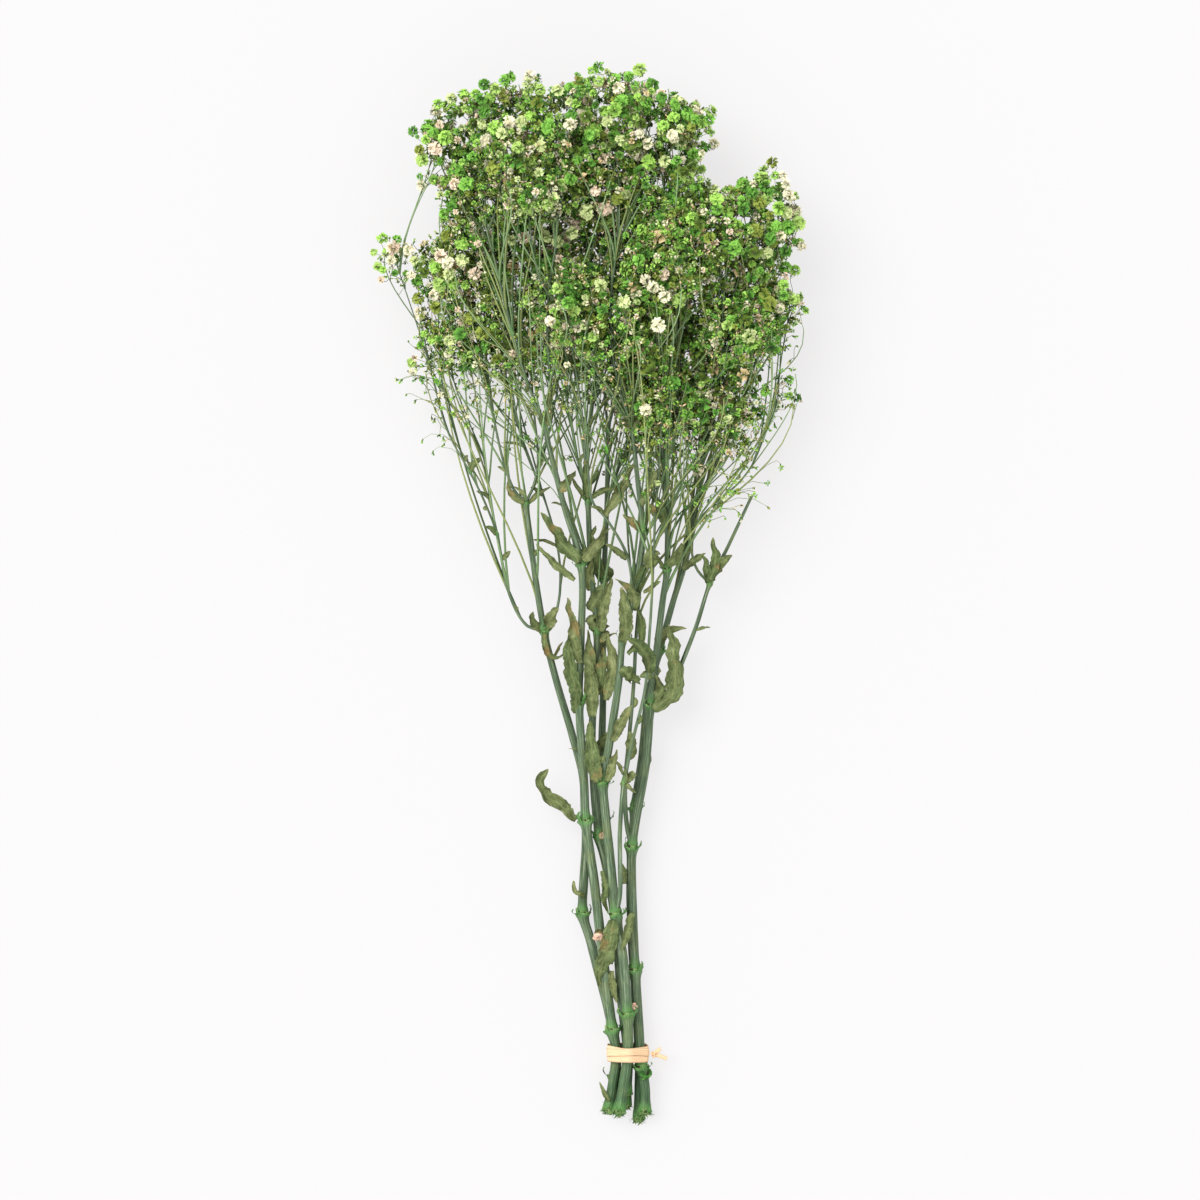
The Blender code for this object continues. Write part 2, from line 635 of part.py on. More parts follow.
def box_of(obj):
    points = [vert.co for vert in obj.data.vertices]
    low = [min(p[i] for p in points) for i in range(3)]
    high = [max(p[i] for p in points) for i in range(3)]
    return low, high


# ---------------------------------------------------------------- the tie

def tie_circles():
    """Where the trunks cross the tie: (x, z, radius)."""
    circles = []
    for stem in STEMS.values():
        rings = ring_stations(stem["trunk"], TRUNK_STEP)
        for (start, start_radius), (end, end_radius) in zip(rings, rings[1:]):
            for k in range(20):
                position = start.lerp(end, k / 20)
                radius = start_radius + (end_radius - start_radius) * k / 20
                if abs(position.y - TIE_Y) < TIE_WIDTH / 2 + 1.5:
                    circles.append((position.x, position.z, radius))
    return circles


def tie_outline(circles, clearance):
    """A taut loop round the trunks, seen along the bunch."""
    outline = []
    for k in range(TIE_SIDES):
        angle = 2 * math.pi * k / TIE_SIDES
        nx, nz = math.cos(angle), math.sin(angle)
        x, z, radius = max(circles, key=lambda c: c[0] * nx + c[1] * nz + c[2])
        outline.append((x + (radius + clearance) * nx, z + (radius + clearance) * nz))
    return outline


def build_tie(material):
    circles = tie_circles()
    inner = tie_outline(circles, GAP)
    outer = tie_outline(circles, GAP + TIE_THICK)
    bm = bmesh.new()
    loops = []
    for outline, y in ((inner, -1), (outer, -1), (outer, 1), (inner, 1)):
        loops.append([bm.verts.new((x, TIE_Y + y * TIE_WIDTH / 2, z)) for x, z in outline])
    for j in range(4):
        first, second = loops[j], loops[(j + 1) % 4]
        for k in range(TIE_SIDES):
            n = (k + 1) % TIE_SIDES
            bm.faces.new((first[k], first[n], second[n], second[k]))
    add_object("tie_band", to_mesh("tie_band", bm), material)
    return max(x for x, _ in outer)


def build_knot(band_edge, material):
    """The knot beside the band, with its two short tails."""
    centre = Vector((band_edge + GAP + KNOT_RADIUS, TIE_Y - 0.5, KNOT_HEIGHT))
    bm = bmesh.new()
    bmesh.ops.create_icosphere(bm, subdivisions=2, radius=KNOT_RADIUS)
    for vert in bm.verts:
        vert.co = Vector((vert.co.x, vert.co.y, vert.co.z * 1.15)) + centre
    obj = add_object("tie_knot", to_mesh("tie_knot", bm), material)
    tails = []
    for i, reach in enumerate(KNOT_TAILS):
        tip = centre + Vector(reach)
        rings = [(centre, 1.0), ((centre + tip) / 2 + Vector((0, 0, 0.8)), 1.1), (tip, 0.8)]
        tails.append(add_guide(f"tail_{i}", tube(rings, BRANCH_SIDES)))
    combine(obj, tails, "UNION")
    for tail in tails:
        bpy.data.objects.remove(tail, do_unlink=True)


# ---------------------------------------------------------------- the bunch

def build():
    clear_scene()
    stem_green = make_material("stem_green", (0.085, 0.19, 0.10), 0.6)
    leaf_olive = make_material("leaf_olive", (0.17, 0.21, 0.06), 0.75)
    bloom_green = make_material("bloom_green", (0.15, 0.38, 0.05), 0.8)
    raffia = make_material("raffia", (0.80, 0.58, 0.36), 0.7)

    pile = Pile()
    cutters = []
    for name, stem in STEMS.items():
        build_stem(name, stem, stem_green)
        for i, (rings, sides) in enumerate(strands_of(stem)):
            guide = add_guide(f"{name}_room_{i}", tube(rings, sides, GAP))
            cutters.append((guide, box_of(guide)))
        pile.add_route(stem["trunk"])
        for _, route in stem["branches"]:
            pile.add_route(route)

    for name, (width, points) in LEAVES.items():
        build_leaf(name, width, points, pile, leaf_olive)
    for name in BLOOMS:
        build_bloom(name, cutters, bloom_green)
    for guide, _ in cutters:
        bpy.data.objects.remove(guide, do_unlink=True)

    build_knot(build_tie(raffia), raffia)


build()
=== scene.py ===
"""The looks of a tied bunch of preserved gypsophila lying on a pale surface.

Seven stems, their crumpled leaves, the fine twigs with their double flowers, half-open florets
and buds, and the raffia tie.  Metres, +Z up, +Y from the cut ends to the flowers.  The route
and leaf tables are in millimetres.
"""
import math
import random

import bpy
import numpy as np
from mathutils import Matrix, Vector, noise
from mathutils.bvhtree import BVHTree
from mathutils.kdtree import KDTree


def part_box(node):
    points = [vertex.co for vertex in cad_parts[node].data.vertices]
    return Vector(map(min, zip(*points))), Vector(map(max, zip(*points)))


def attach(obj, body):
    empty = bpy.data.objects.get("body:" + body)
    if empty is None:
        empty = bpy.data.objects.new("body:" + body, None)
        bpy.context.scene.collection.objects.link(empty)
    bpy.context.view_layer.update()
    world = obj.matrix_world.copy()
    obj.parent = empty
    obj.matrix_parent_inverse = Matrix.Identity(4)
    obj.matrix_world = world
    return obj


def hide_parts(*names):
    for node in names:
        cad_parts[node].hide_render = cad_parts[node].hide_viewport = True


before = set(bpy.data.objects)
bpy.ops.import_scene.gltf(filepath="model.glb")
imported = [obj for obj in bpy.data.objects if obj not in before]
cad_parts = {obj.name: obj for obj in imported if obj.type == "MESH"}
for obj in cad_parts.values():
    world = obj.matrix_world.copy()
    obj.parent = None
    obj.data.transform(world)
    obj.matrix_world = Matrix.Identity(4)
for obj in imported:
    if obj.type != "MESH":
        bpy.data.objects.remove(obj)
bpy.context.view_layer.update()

MM = 0.001
SHIFT = Vector((-1.1, -0.4, 0.0))   # from the tables to the frame, in millimetres
BODY = "root"
FLOOR_GAP = 0.3             # least room between the plant and the surface, in millimetres

TURN = 6.28                 # a full turn, for draws of a direction
NODE = True                 # marks the route points that carry a swollen joint
# Each route runs from the cut end, or from the joint it grows out of, to the tip.
# A point is (x, y, z, radius), with NODE where the stem swells.  A branch starts with the
# name of the bloom cloud at its tip, or None where it was cut.
STEMS = {
    "stem_front_left": dict(
        trunk=(
            (10.2, -295, 9.9, 3.3), (12.5, -280, 10.5, 3.1), (15, -260, 11.3, 3.1),
            (12.7, -247, 12.6, 3.1, NODE), (7.9, -209, 12.6, 3.1), (2.3, -161, 14, 3.1),
            (-2.3, -128, 17.8, 3.1, NODE), (-3.4, -104, 18.8, 3.1), (-6.2, -60, 23, 3, NODE),
            (-5.1, -25, 26, 2.9), (-5.1, 18, 32.6, 2.9, NODE), (-14.1, 49, 35, 2.7),
            (-23.2, 85, 41, 2.5), (-25.5, 97, 43, 2.3, NODE),
        ),
        branches=(
            ("top_left", (
                (-25.5, 97, 43, 1.6), (-34, 117, 47, 1.6), (-43.6, 148, 53, 1.5, NODE),
                (-52.6, 185, 59, 1.4), (-57.7, 204, 60, 1.3), (-64.5, 230, 56, 1.1),
                (-72.4, 252, 48, 0.9),
            )),
            ("top_left_inner", (
                (-57.7, 204, 60, 1.1), (-51.5, 221, 60, 1), (-48.7, 244, 56, 0.9),
                (-47.5, 261, 52, 0.9),
            )),
            ("top_middle", (
                (-25.5, 97, 43, 1.6), (-22.1, 117, 49, 1.6), (-23.8, 145, 57, 1.5),
                (-23.2, 168, 64, 1.4), (-18.7, 201, 66, 1.2), (-15.8, 235, 60, 1),
                (-15.8, 258, 54, 0.9),
            )),
            ("upper_left", (
                (-23.2, 168, 64, 1.2), (-30, 185, 69, 1.1), (-33.4, 204, 71, 1),
                (-34, 221, 70, 0.9),
            )),
        ),
    ),
    "stem_left": dict(
        trunk=(
            (11.9, -291, 3.2, 3), (13.6, -280, 3.8, 3), (15, -260, 4.6, 3.1), (10.2, -234, 4.4, 3),
            (5.7, -217, 4.6, 3), (0, -195, 5.2, 3), (-4, -181, 5.5, 3, NODE), (-3.4, -161, 5.6, 3),
            (-2.3, -138, 6.2, 2.9), (-4, -104, 7.5, 2.8), (-10.2, -79, 10.5, 2.8),
            (-19.2, -48, 15, 2.7), (-26, -20, 19, 2.7, NODE), (-32.3, 20, 24, 2.5),
            (-36.2, 53, 28, 2.3, NODE),
        ),
        branches=(
            ("left_lobe", (
                (-26, -20, 19, 1.3), (-36.8, -16, 20, 1.3), (-46.4, 3, 22, 1.3),
                (-50.9, 26, 23, 1.3), (-52.6, 35, 24, 1.2, NODE), (-60, 54, 25, 1.2),
                (-67.9, 70, 26, 1.1, NODE), (-80.9, 94, 28, 1), (-91.7, 134, 31, 0.9),
                (-100.7, 162, 33, 0.8), (-107.5, 182, 34, 0.8),
            )),
            ("low_left", (
                (-52.6, 35, 24, 1.1), (-56.6, 54, 23, 1.1), (-60, 77, 22, 1), (-67.9, 97, 21, 0.9),
                (-76.4, 119, 20, 0.9), (-80.9, 139, 20, 0.8),
            )),
            ("left", (
                (-36.2, 53, 28, 1.4), (-43, 60, 28, 1.4), (-49.2, 77, 29, 1.3),
                (-54.3, 100, 30, 1.2), (-59.4, 128, 30, 1.1), (-65.7, 156, 29, 1),
                (-70.2, 176, 28, 0.9),
            )),
            ("left_inner", (
                (-36.2, 53, 28, 1.4), (-31.7, 63, 28, 1.4), (-29.4, 77, 28, 1.3),
                (-31.7, 105, 28, 1.2), (-34, 139, 27, 1.1), (-34.5, 173, 27, 1),
                (-34.5, 187, 27, 0.9),
            )),
            ("lower_left", (
                (-26, -20, 19, 1.2), (-20.9, -14, 19, 1.2), (-17, 3, 20, 1.2),
                (-18.1, 26, 22, 1.1), (-25.5, 54, 24, 1.1), (-38.5, 88, 24, 1),
                (-48.1, 128, 24, 0.9), (-50.9, 145, 24, 0.8),
            )),
        ),
    ),
    "stem_middle_back": dict(
        trunk=(
            (20.4, -285, 10.4, 3.1), (21.5, -260, 11.3, 3.1), (18.1, -229, 10.8, 3),
            (15.8, -200, 10.3, 2.9), (13, -175, 10, 2.9), (8.5, -151, 10.6, 2.8),
            (5.1, -137, 11.4, 2.8, NODE), (2.3, -110, 13.6, 2.8), (1.1, -82, 15, 2.7),
            (2.3, -53, 18, 2.7), (4, -20, 22, 2.6, NODE), (0.6, 15, 27, 2.5),
            (-1.1, 54, 33, 2.3, NODE), (-2.8, 88, 37, 2.1),
        ),
        branches=(
            ("upper_middle", (
                (-2.8, 88, 37, 1.5), (-5.7, 111, 40, 1.4), (-10.2, 139, 42, 1.3),
                (-5.7, 168, 42, 1.2), (1.1, 196, 40, 1.1), (3.4, 221, 38, 0.9),
            )),
            ("centre_back", (
                (-2.8, 88, 37, 1.4), (1.7, 111, 36, 1.3), (4.5, 139, 32, 1.2), (5.7, 173, 28, 1),
                (5.7, 187, 27, 0.9),
            )),
            ("lower_middle", (
                (-1.1, 54, 33, 1.3), (-6.8, 77, 31, 1.2), (-13, 111, 28, 1.1),
                (-16.4, 142, 25, 0.9),
            )),
        ),
    ),
    "stem_front_centre": dict(
        trunk=(
            (16.4, -295, 16.6, 3.3), (18.7, -280, 17.2, 3.1), (21.5, -260, 17.9, 3.1),
            (21.5, -238, 18.5, 3.1, NODE), (18.7, -206, 18, 3.1), (14.7, -181, 18.4, 3.1, NODE),
            (11.3, -149, 20, 3.1), (7.9, -115, 21.6, 3.1), (7.4, -106, 22.2, 3, NODE),
            (11.3, -82, 25, 2.9), (16.4, -48, 29, 2.8), (18.7, -24, 32, 2.8, NODE),
            (24.9, 1, 36, 2.7), (29.4, 29, 41, 2.6), (30, 37, 43, 2.5, NODE), (26.6, 68, 49, 2.2),
            (23.8, 94, 54, 2, NODE),
        ),
        branches=(
            ("top_right_inner", (
                (23.8, 94, 54, 1.4), (18.1, 111, 58, 1.3), (12.5, 139, 62, 1.2),
                (12.5, 173, 64, 1.2), (15.8, 201, 62, 1.1), (16.4, 230, 58, 1),
                (11.9, 267, 52, 0.8),
            )),
            ("front_centre", (
                (23.8, 94, 54, 1.4), (24.9, 111, 60, 1.3), (22.6, 131, 66, 1.1),
                (20.9, 142, 68, 0.9),
            )),
            ("front_left_centre", (
                (24.9, 1, 36, 1.4), (20.9, 23, 41, 1.4), (9.6, 43, 46, 1.3), (1.1, 54, 50, 1.3),
                (-1.7, 83, 55, 1.2), (-5.7, 111, 60, 1.1), (-9.6, 139, 66, 1),
                (-11.9, 151, 68, 0.9),
            )),
            ("front_upper_right", (
                (14.7, -181, 18.4, 1.6), (17, -169, 22.5, 1.6), (17, -149, 24.4, 1.6),
                (17, -132, 25.4, 1.6), (19.2, -106, 27, 1.7, NODE), (24.9, -79, 30, 1.3),
                (31.1, -53, 34.5, 1.3), (33.4, -25, 38, 1.3), (35.1, 3, 44, 1.3),
                (36.8, 43, 52, 1.2), (39.6, 83, 60, 1.1), (43, 122, 66, 1), (44.1, 168, 69, 0.9),
            )),
        ),
    ),
    "stem_right": dict(
        trunk=(
            (31.1, -296, 9.9, 3.4), (31.1, -280, 10.6, 3.2), (28.3, -260, 11.3, 3.1),
            (27.2, -240, 11.1, 3.1), (25.5, -213, 11.3, 3.1, NODE), (23.8, -172, 12, 3.1),
            (23.8, -143, 14, 3.1, NODE), (27.2, -121, 15.6, 3), (31.7, -96, 17.6, 3),
            (34.5, -62, 21, 3, NODE), (37.9, -31, 26, 2.8), (41.3, -2, 31, 2.7),
            (43.6, 15, 34, 2.6, NODE), (43.6, 49, 40, 2.4), (41.3, 77, 45, 2.1, NODE),
        ),
        branches=(
            ("front_low", (
                (41.3, 77, 45, 1.4), (39.6, 94, 50, 1.3), (36.8, 111, 56, 1.2), (36.8, 119, 58, 1),
            )),
            ("top_right", (
                (41.3, 77, 45, 1.4), (47.5, 100, 48, 1.3), (50.9, 134, 48, 1.2),
                (48.7, 168, 46, 1.1), (44.1, 201, 46, 1), (41.9, 224, 48, 0.9),
                (41.9, 247, 50, 0.8),
            )),
            ("low_centre_right", (
                (23.8, -143, 14, 1.7), (20.9, -130, 16, 1.7), (19.8, -110, 18, 1.7),
                (22.6, -76, 21, 1.6), (24.9, -48, 25, 1.6), (26, -25, 28, 1.6), (28.3, 3, 30, 1.5),
                (31.7, 43, 34, 1.4), (35.1, 88, 36, 1.2), (39.6, 122, 36, 1.1),
                (44.1, 145, 34, 0.9),
            )),
            (None, (
                (34.5, -62, 21, 1.8), (45.3, -53, 21, 1.8), (52.1, -38, 22, 1.9),
                (60.6, -16, 24, 1.9), (67.9, 7, 28, 2, NODE), (78.1, 28, 32, 1.9),
                (91.7, 57, 36, 1.9),
            )),
            ("right_sprig", (
                (67.9, 7, 28, 1.2), (60.6, 15, 29.5, 1.2), (57.7, 26, 31, 1.1),
                (60.6, 41, 32.5, 1.1), (72.4, 54, 32.5, 1.1), (83.2, 63, 32, 1), (91.7, 74, 32, 1),
                (99, 91, 33, 0.9), (104.1, 104, 34, 0.8),
            )),
        ),
    ),
    "stem_back_left": dict(
        trunk=(
            (20.1, -292, 3.2, 3), (21.5, -260, 4.6, 3.1), (18.1, -229, 4.2, 3),
            (16.4, -195, 3.6, 2.9), (11.9, -155, 3.4, 2.8), (7.9, -127, 4.3, 2.8, NODE),
            (6.8, -93, 5, 2.7), (7.4, -59, 9, 2.6), (7.4, -25, 14, 2.5), (7.9, 9, 19, 2.4, NODE),
            (9.6, 54, 25, 2.2), (10.2, 94, 30, 2, NODE),
        ),
        branches=(
            ("centre_right_back", (
                (10.2, 94, 30, 1.4), (15.8, 117, 31, 1.3), (21.5, 145, 30, 1.2),
                (26, 173, 28, 1.1), (28.3, 187, 27, 0.9),
            )),
            ("low_centre", (
                (10.2, 94, 30, 1.4), (7.9, 117, 27, 1.2), (5.7, 134, 24, 1),
            )),
            ("low_right_centre", (
                (9.6, 54, 25, 1.4), (18.1, 77, 24, 1.3), (28.3, 100, 22, 1.1),
                (35.1, 117, 20, 0.9),
            )),
        ),
    ),
    "stem_back_right": dict(
        trunk=(
            (27.5, -300, 3.1, 3), (28.3, -260, 4.6, 3.1), (26.6, -229, 4.2, 3),
            (24.3, -200, 3.5, 2.9), (23.2, -161, 3.6, 2.8), (25.5, -121, 4.8, 2.8, NODE),
            (29.4, -93, 6.5, 2.7), (32.8, -59, 10, 2.7), (39.6, -31, 14, 2.6, NODE),
            (47.5, -2, 19, 2.5), (54.3, 20, 23, 2.4), (60.6, 54, 26.5, 2.2, NODE),
            (64.5, 88, 33, 2, NODE),
        ),
        branches=(
            ("right_lobe", (
                (64.5, 88, 33, 1.5), (69.1, 111, 40, 1.4), (74.7, 136, 47, 1.3, NODE),
                (83.8, 151, 50, 1.1), (88.3, 173, 52, 1), (94.5, 199, 50, 0.8),
            )),
            ("upper_right", (
                (74.7, 136, 47, 1.1), (74.7, 156, 54, 1), (73.6, 179, 58, 0.9),
                (72.4, 190, 60, 0.8),
            )),
            ("right_middle", (
                (64.5, 88, 33, 1.4), (62.3, 111, 30, 1.2), (60, 131, 27, 0.9),
            )),
            ("right", (
                (60.6, 54, 26.5, 1.4), (73.6, 80, 28, 1.4), (86, 111, 29, 1.3),
                (93.4, 139, 30, 1.1), (96.2, 156, 31, 0.9),
            )),
            ("low_right", (
                (64.5, 88, 33, 1.3), (70.8, 91, 40, 1.2), (74.1, 97, 47, 0.9),
            )),
        ),
    ),
}

# Leaves: full width, then points (x, y, least z) from the stem to the tip.
LEAVES = {
    "leaf_low_left_folded": (7.5, (
        (-7.7, -127, 17.5), (-16, -120, 15), (-25, -113, 13), (-28, -105, 14), (-24, -98, 18),
    )),
    "leaf_low_front": (8, ((13.5, -184, 20), (11, -197, 18), (7.5, -209, 14), (4, -222, 12))),
    "leaf_low_narrow": (3.5, ((12.4, -213, 14.5), (13, -222, 15), (15, -231, 15))),
    "leaf_low_right": (4.5, ((24, -180, 14), (21, -192, 14), (18.5, -201, 16))),
    "leaf_centre_left": (7, ((5, -106, 24), (2, -94, 24), (0.5, -80, 22), (0, -71, 20))),
    "leaf_centre_right": (5, ((9.8, -105, 24), (13, -97, 25), (15.5, -87, 26))),
    "leaf_right_large": (8.5, (
        (35.6, -64, 23), (42.5, -60, 24), (48.5, -49, 25), (47.5, -33, 26), (44.5, -16, 28),
    )),
    "leaf_left_ragged": (7, ((-7, -59, 26), (-10, -45, 25), (-12, -31, 23), (-11, -20, 22))),
    "leaf_left_upper_ragged": (6, ((-5.5, -38, 28), (-9, -22, 30), (-12, -8, 30), (-13, -1, 30))),
    "leaf_dark_folded": (6.5, ((17.3, -41.5, 30), (23, -45.5, 30), (28.5, -50, 30))),
    "leaf_pale_tip": (5.5, ((12.2, -82, 28), (18, -71, 29), (23.5, -62, 31))),
    "leaf_front_centre": (6.5, ((18.5, -26, 35), (20.5, -16, 36), (20, -5, 37), (18, 5, 38))),
    "leaf_pale_left": (7, ((-6, 19, 35), (-14, 28, 36), (-22, 38, 37), (-28, 47, 40))),
    "leaf_upper_right": (6, ((-4, 20, 36), (1.5, 27, 38), (6, 33, 40), (8, 40, 42))),
    "leaf_narrow_left": (3.5, (
        (-8.6, 9, 31), (-16, 15, 29), (-24, 22, 27), (-30.5, 29.5, 28),
    )),
    "leaf_left_curled": (3.5, ((-26, -20.5, 20), (-25, -31, 16), (-20, -35, 14), (-13, -33, 15))),
    "leaf_upper_centre": (4.5, ((29, 51, 46), (33, 60, 49), (38, 71, 51))),
    "leaf_right_node": (6, ((44, 17, 36), (48.5, 23, 38), (51.5, 30, 41))),
    "leaf_far_right": (4.5, ((68.3, 9, 30), (71, 19, 33), (69.5, 33, 37))),
}

# Small leaves that only the dressed bunch has: full width, then points (x, y, z).
SMALL_LEAVES = {
    "leaf_low_curl": (3.0, ((-3, -171, 9), (-6, -169.5, 12), (-8.5, -168, 12), (-9.6, -162, 9))),
    "leaf_mid_curl": (3.5, ((7, -156, 18), (9, -166, 20), (8, -173, 17), (10, -180, 13))),
    "leaf_base_sliver": (2.5, ((10.8, -287.5, 14), (7.9, -281, 15), (5.7, -276, 13))),
    "leaf_thin_stem": (2.5, ((20, -106, 28), (22.5, -109, 30), (26, -111.5, 29))),
    "leaf_tuft_left": (4.5, ((-1.1, 55, 36), (-2.3, 65.7, 40), (-2.8, 75, 43))),
    "leaf_tuft_right": (3.0, ((0, 55, 36), (8.5, 60, 38), (17, 60, 37))),
    "leaf_brown": (4.0, ((-24, 96, 45), (-23.2, 106, 50), (-22.6, 115, 54))),
    "leaf_left_upper": (3.0, ((-37, 52.6, 30), (-44.7, 57.7, 32), (-46.4, 66.8, 33))),
    "leaf_centre_low": (5.0, ((4.5, -56, 23), (6.8, -39, 26), (8, -29, 27))),
    "leaf_back_broad": (7.0, ((-0.6, -8, 25), (4, -1, 27), (9.6, 8, 26))),
    "leaf_pod": (5.5, ((5.7, -20, 27), (8, -5, 29), (12.5, 10, 29))),
    "leaf_loop_dark": (4.5, ((21.5, -33, 33), (29, -25, 33), (28, -11, 34), (25, -2, 35))),
    "leaf_dark_right": (5.0, ((39.6, -41, 24), (34, -44, 25), (28.3, -46, 25))),
    "leaf_olive_long": (7.0, ((1.1, -68.5, 24), (0, -45, 26), (-1, -19, 28))),
    "leaf_yellow_long": (6.0, ((9, -59, 27), (12.5, -39, 29), (10, -21.5, 30))),
    "leaf_narrow_right": (3.0, ((30, 2, 42), (35, 5, 43), (40, 8, 42))),
    "leaf_right_outer": (4.0, ((52.6, 15, 30), (59, 20, 31), (65.6, 24, 31))),
    "leaf_top_left": (5.0, ((-17, 59, 38), (-12, 66, 40), (-8.5, 71, 40))),
    "leaf_curved_right": (5.0, ((42.5, 38.5, 42), (39.6, 51.5, 43), (34, 59, 44))),
    "leaf_low_olive": (4.0, ((19.8, -163.6, 15), (19, -158, 15), (18, -152, 15))),
    "leaf_collar": (4.0, ((25, -99.6, 28), (21, -104, 28), (17, -107, 28))),
    "leaf_upper_pale": (6.5, ((9, 45, 48), (17, 58, 50), (26, 75, 51))),
}

# How full a bloom cloud of middling size is: double flowers, smaller doubles, withered husks
# deep inside, tufts, half-open florets and buds.
FULLNESS = {
    "showy": (34, 48, 22, 84, 44, 50),
    "mixed": (9, 32, 52, 160, 145, 95),
    "fine": (2, 9, 44, 155, 220, 160),
    "sparse": (8, 14, 0, 36, 26, 30),
}
CLOUDS = {
    "top_left": ("showy", "fresh"), "top_left_inner": ("showy", "fresh"),
    "top_middle": ("showy", "fresh"), "top_right_inner": ("showy", "fresh"),
    "top_right": ("showy", "fresh"), "upper_left_inner": ("mixed", "fresh"),
    "upper_left": ("mixed", "pale"), "upper_middle": ("mixed", "dry"),
    "upper_right_inner": ("mixed", "fresh"), "upper_right": ("mixed", "fresh"),
    "right_lobe": ("showy", "fresh"), "right": ("mixed", "fresh"),
    "right_inner": ("mixed", "fresh"), "right_middle": ("fine", "dry"),
    "right_sprig": ("sparse", "fresh"), "left_lobe": ("sparse", "pale"),
    "low_left": ("fine", "fresh"), "left": ("mixed", "pale"), "left_inner": ("mixed", "dry"),
    "lower_left": ("fine", "pale"), "centre_back": ("mixed", "dry"),
    "centre_right_back": ("mixed", "dry"), "lower_middle": ("fine", "dry"),
    "low_centre": ("fine", "dry"), "low_centre_right": ("fine", "fresh"),
    "low_right_centre": ("fine", "fresh"), "low_right": ("fine", "pale"),
    "front_low": ("fine", "fresh"), "front_centre": ("mixed", "fresh"),
    "front_left_centre": ("mixed", "pale"), "front_upper_right": ("mixed", "fresh"),
}

# The palette of the sprays: the colour near the heart and at the rim, as display values.
# The darker heart is partly the petals' own green base and partly painted shade inside the
# flower.
TONES = {
    "deep": ((34, 84, 20), (98, 154, 58)),
    "bright": ((50, 112, 24), (132, 190, 78)),
    "fresh": ((72, 130, 28), (168, 214, 98)),
    "lime": ((84, 136, 38), (176, 208, 112)),
    "pale_lime": ((114, 156, 60), (210, 222, 156)),
    "cream": ((140, 162, 84), (242, 234, 204)),
    "pink_cream": ((152, 148, 88), (240, 218, 194)),
    "olive": ((78, 98, 24), (144, 160, 68)),
    "tan": ((118, 104, 46), (224, 200, 152)),
    "husk": ((36, 60, 16), (104, 130, 46)),
    "calyx": ((50, 96, 24), (128, 176, 64)),
    "calyx_olive": ((74, 94, 28), (152, 166, 78)),
    "bract": ((170, 132, 88), (240, 208, 168)),
    "twig": ((92, 120, 74), (144, 170, 122)),
    "twig_olive": ((106, 120, 68), (156, 168, 108)),
    "twig_dark": ((56, 76, 44), (98, 124, 78)),
}
TWIG_TONES = ("twig", "twig", "twig", "twig_olive", "twig_olive", "twig_dark")
MOODS = {
    "fresh": {"deep": 6, "bright": 7, "fresh": 5, "lime": 3, "pale_lime": 3, "cream": 3.8,
              "pink_cream": 1.4, "olive": 1.0},
    "pale": {"deep": 2, "bright": 3, "fresh": 4, "lime": 5, "pale_lime": 5, "cream": 5,
             "pink_cream": 1.5, "olive": 1.5},
    "dry": {"deep": 2, "bright": 3, "fresh": 3, "lime": 3, "pale_lime": 3, "cream": 2.5,
            "pink_cream": 1.5, "olive": 4, "tan": 0.5},
}
FLORET_MOODS = {
    "fresh": {"deep": 5, "bright": 7, "fresh": 6, "lime": 4, "pale_lime": 2, "cream": 2.6,
              "pink_cream": 1.4, "olive": 3, "tan": 1},
    "pale": {"deep": 3, "bright": 3, "fresh": 4, "lime": 5, "pale_lime": 4, "cream": 4,
             "pink_cream": 1.6, "olive": 3, "tan": 1},
    "dry": {"deep": 3, "bright": 3, "fresh": 3, "lime": 3, "pale_lime": 2, "cream": 2.4,
            "pink_cream": 1.6, "olive": 6, "tan": 2},
}
HUSK_TONES = {"husk": 5, "deep": 3, "olive": 2, "tan": 0.6}

FLOWER_RADIUS = 3.7         # a fully open double flower
SMALL_RADIUS = 2.7
TUFT_RADIUS = 1.9
HUSK_RADIUS = 3.6
CALYX_LENGTH = 1.6
PETAL_START = 0.30          # where a petal leaves the heart, as a share of the radius
FLORET_LENGTH = 3.2         # a half-open floret, from the stalk to the petals' tips
FLORET_RADIUS = 1.5         # the room that it takes
BUD_LENGTH = 2.3
BUD_RADIUS = 1.1
PETAL_BEND = (14, 44)       # degrees that an outer petal bends back
BEND_FROM, BEND_BY = -1.7, 2.7      # the inmost petals bend the other way, over the heart
PETAL_NOTCH = 0.09          # how far its tip is notched, as a share of the radius
PETAL_UNEVEN = 0.06
PETAL_RUFFLE = 0.13
WHORL_TILT = 15             # degrees that a petal strays from its whorl


# ---------------------------------------------------------------- meshes

def linear(value):
    """A display value of 0 to 255 as linear light."""
    value /= 255
    return value / 12.92 if value <= 0.04045 else ((value + 0.055) / 1.055) ** 2.4


def colour(rgb):
    return (*(linear(value) for value in rgb), 1.0)


def grid_faces(rows, columns, closed=False):
    """Quads over a grid of points kept row by row; closed joins the last column to the first."""
    i = np.arange(rows - 1)[:, None] * columns
    j = np.arange(columns if closed else columns - 1)[None, :]
    n = (j + 1) % columns
    return np.stack(np.broadcast_arrays(i + j, i + n, i + columns + n, i + columns + j),
                    axis=-1).reshape(-1, 4)


def grid_places(u, v):
    """The map place of each corner of a grid's quads: u across its columns and v along it."""
    quads = [
        ((u[j], v[i]), (u[j + 1], v[i]), (u[j + 1], v[i + 1]), (u[j], v[i + 1]))
        for i in range(len(v) - 1) for j in range(len(u) - 1)
    ]
    return np.array(quads).reshape(-1, 2)


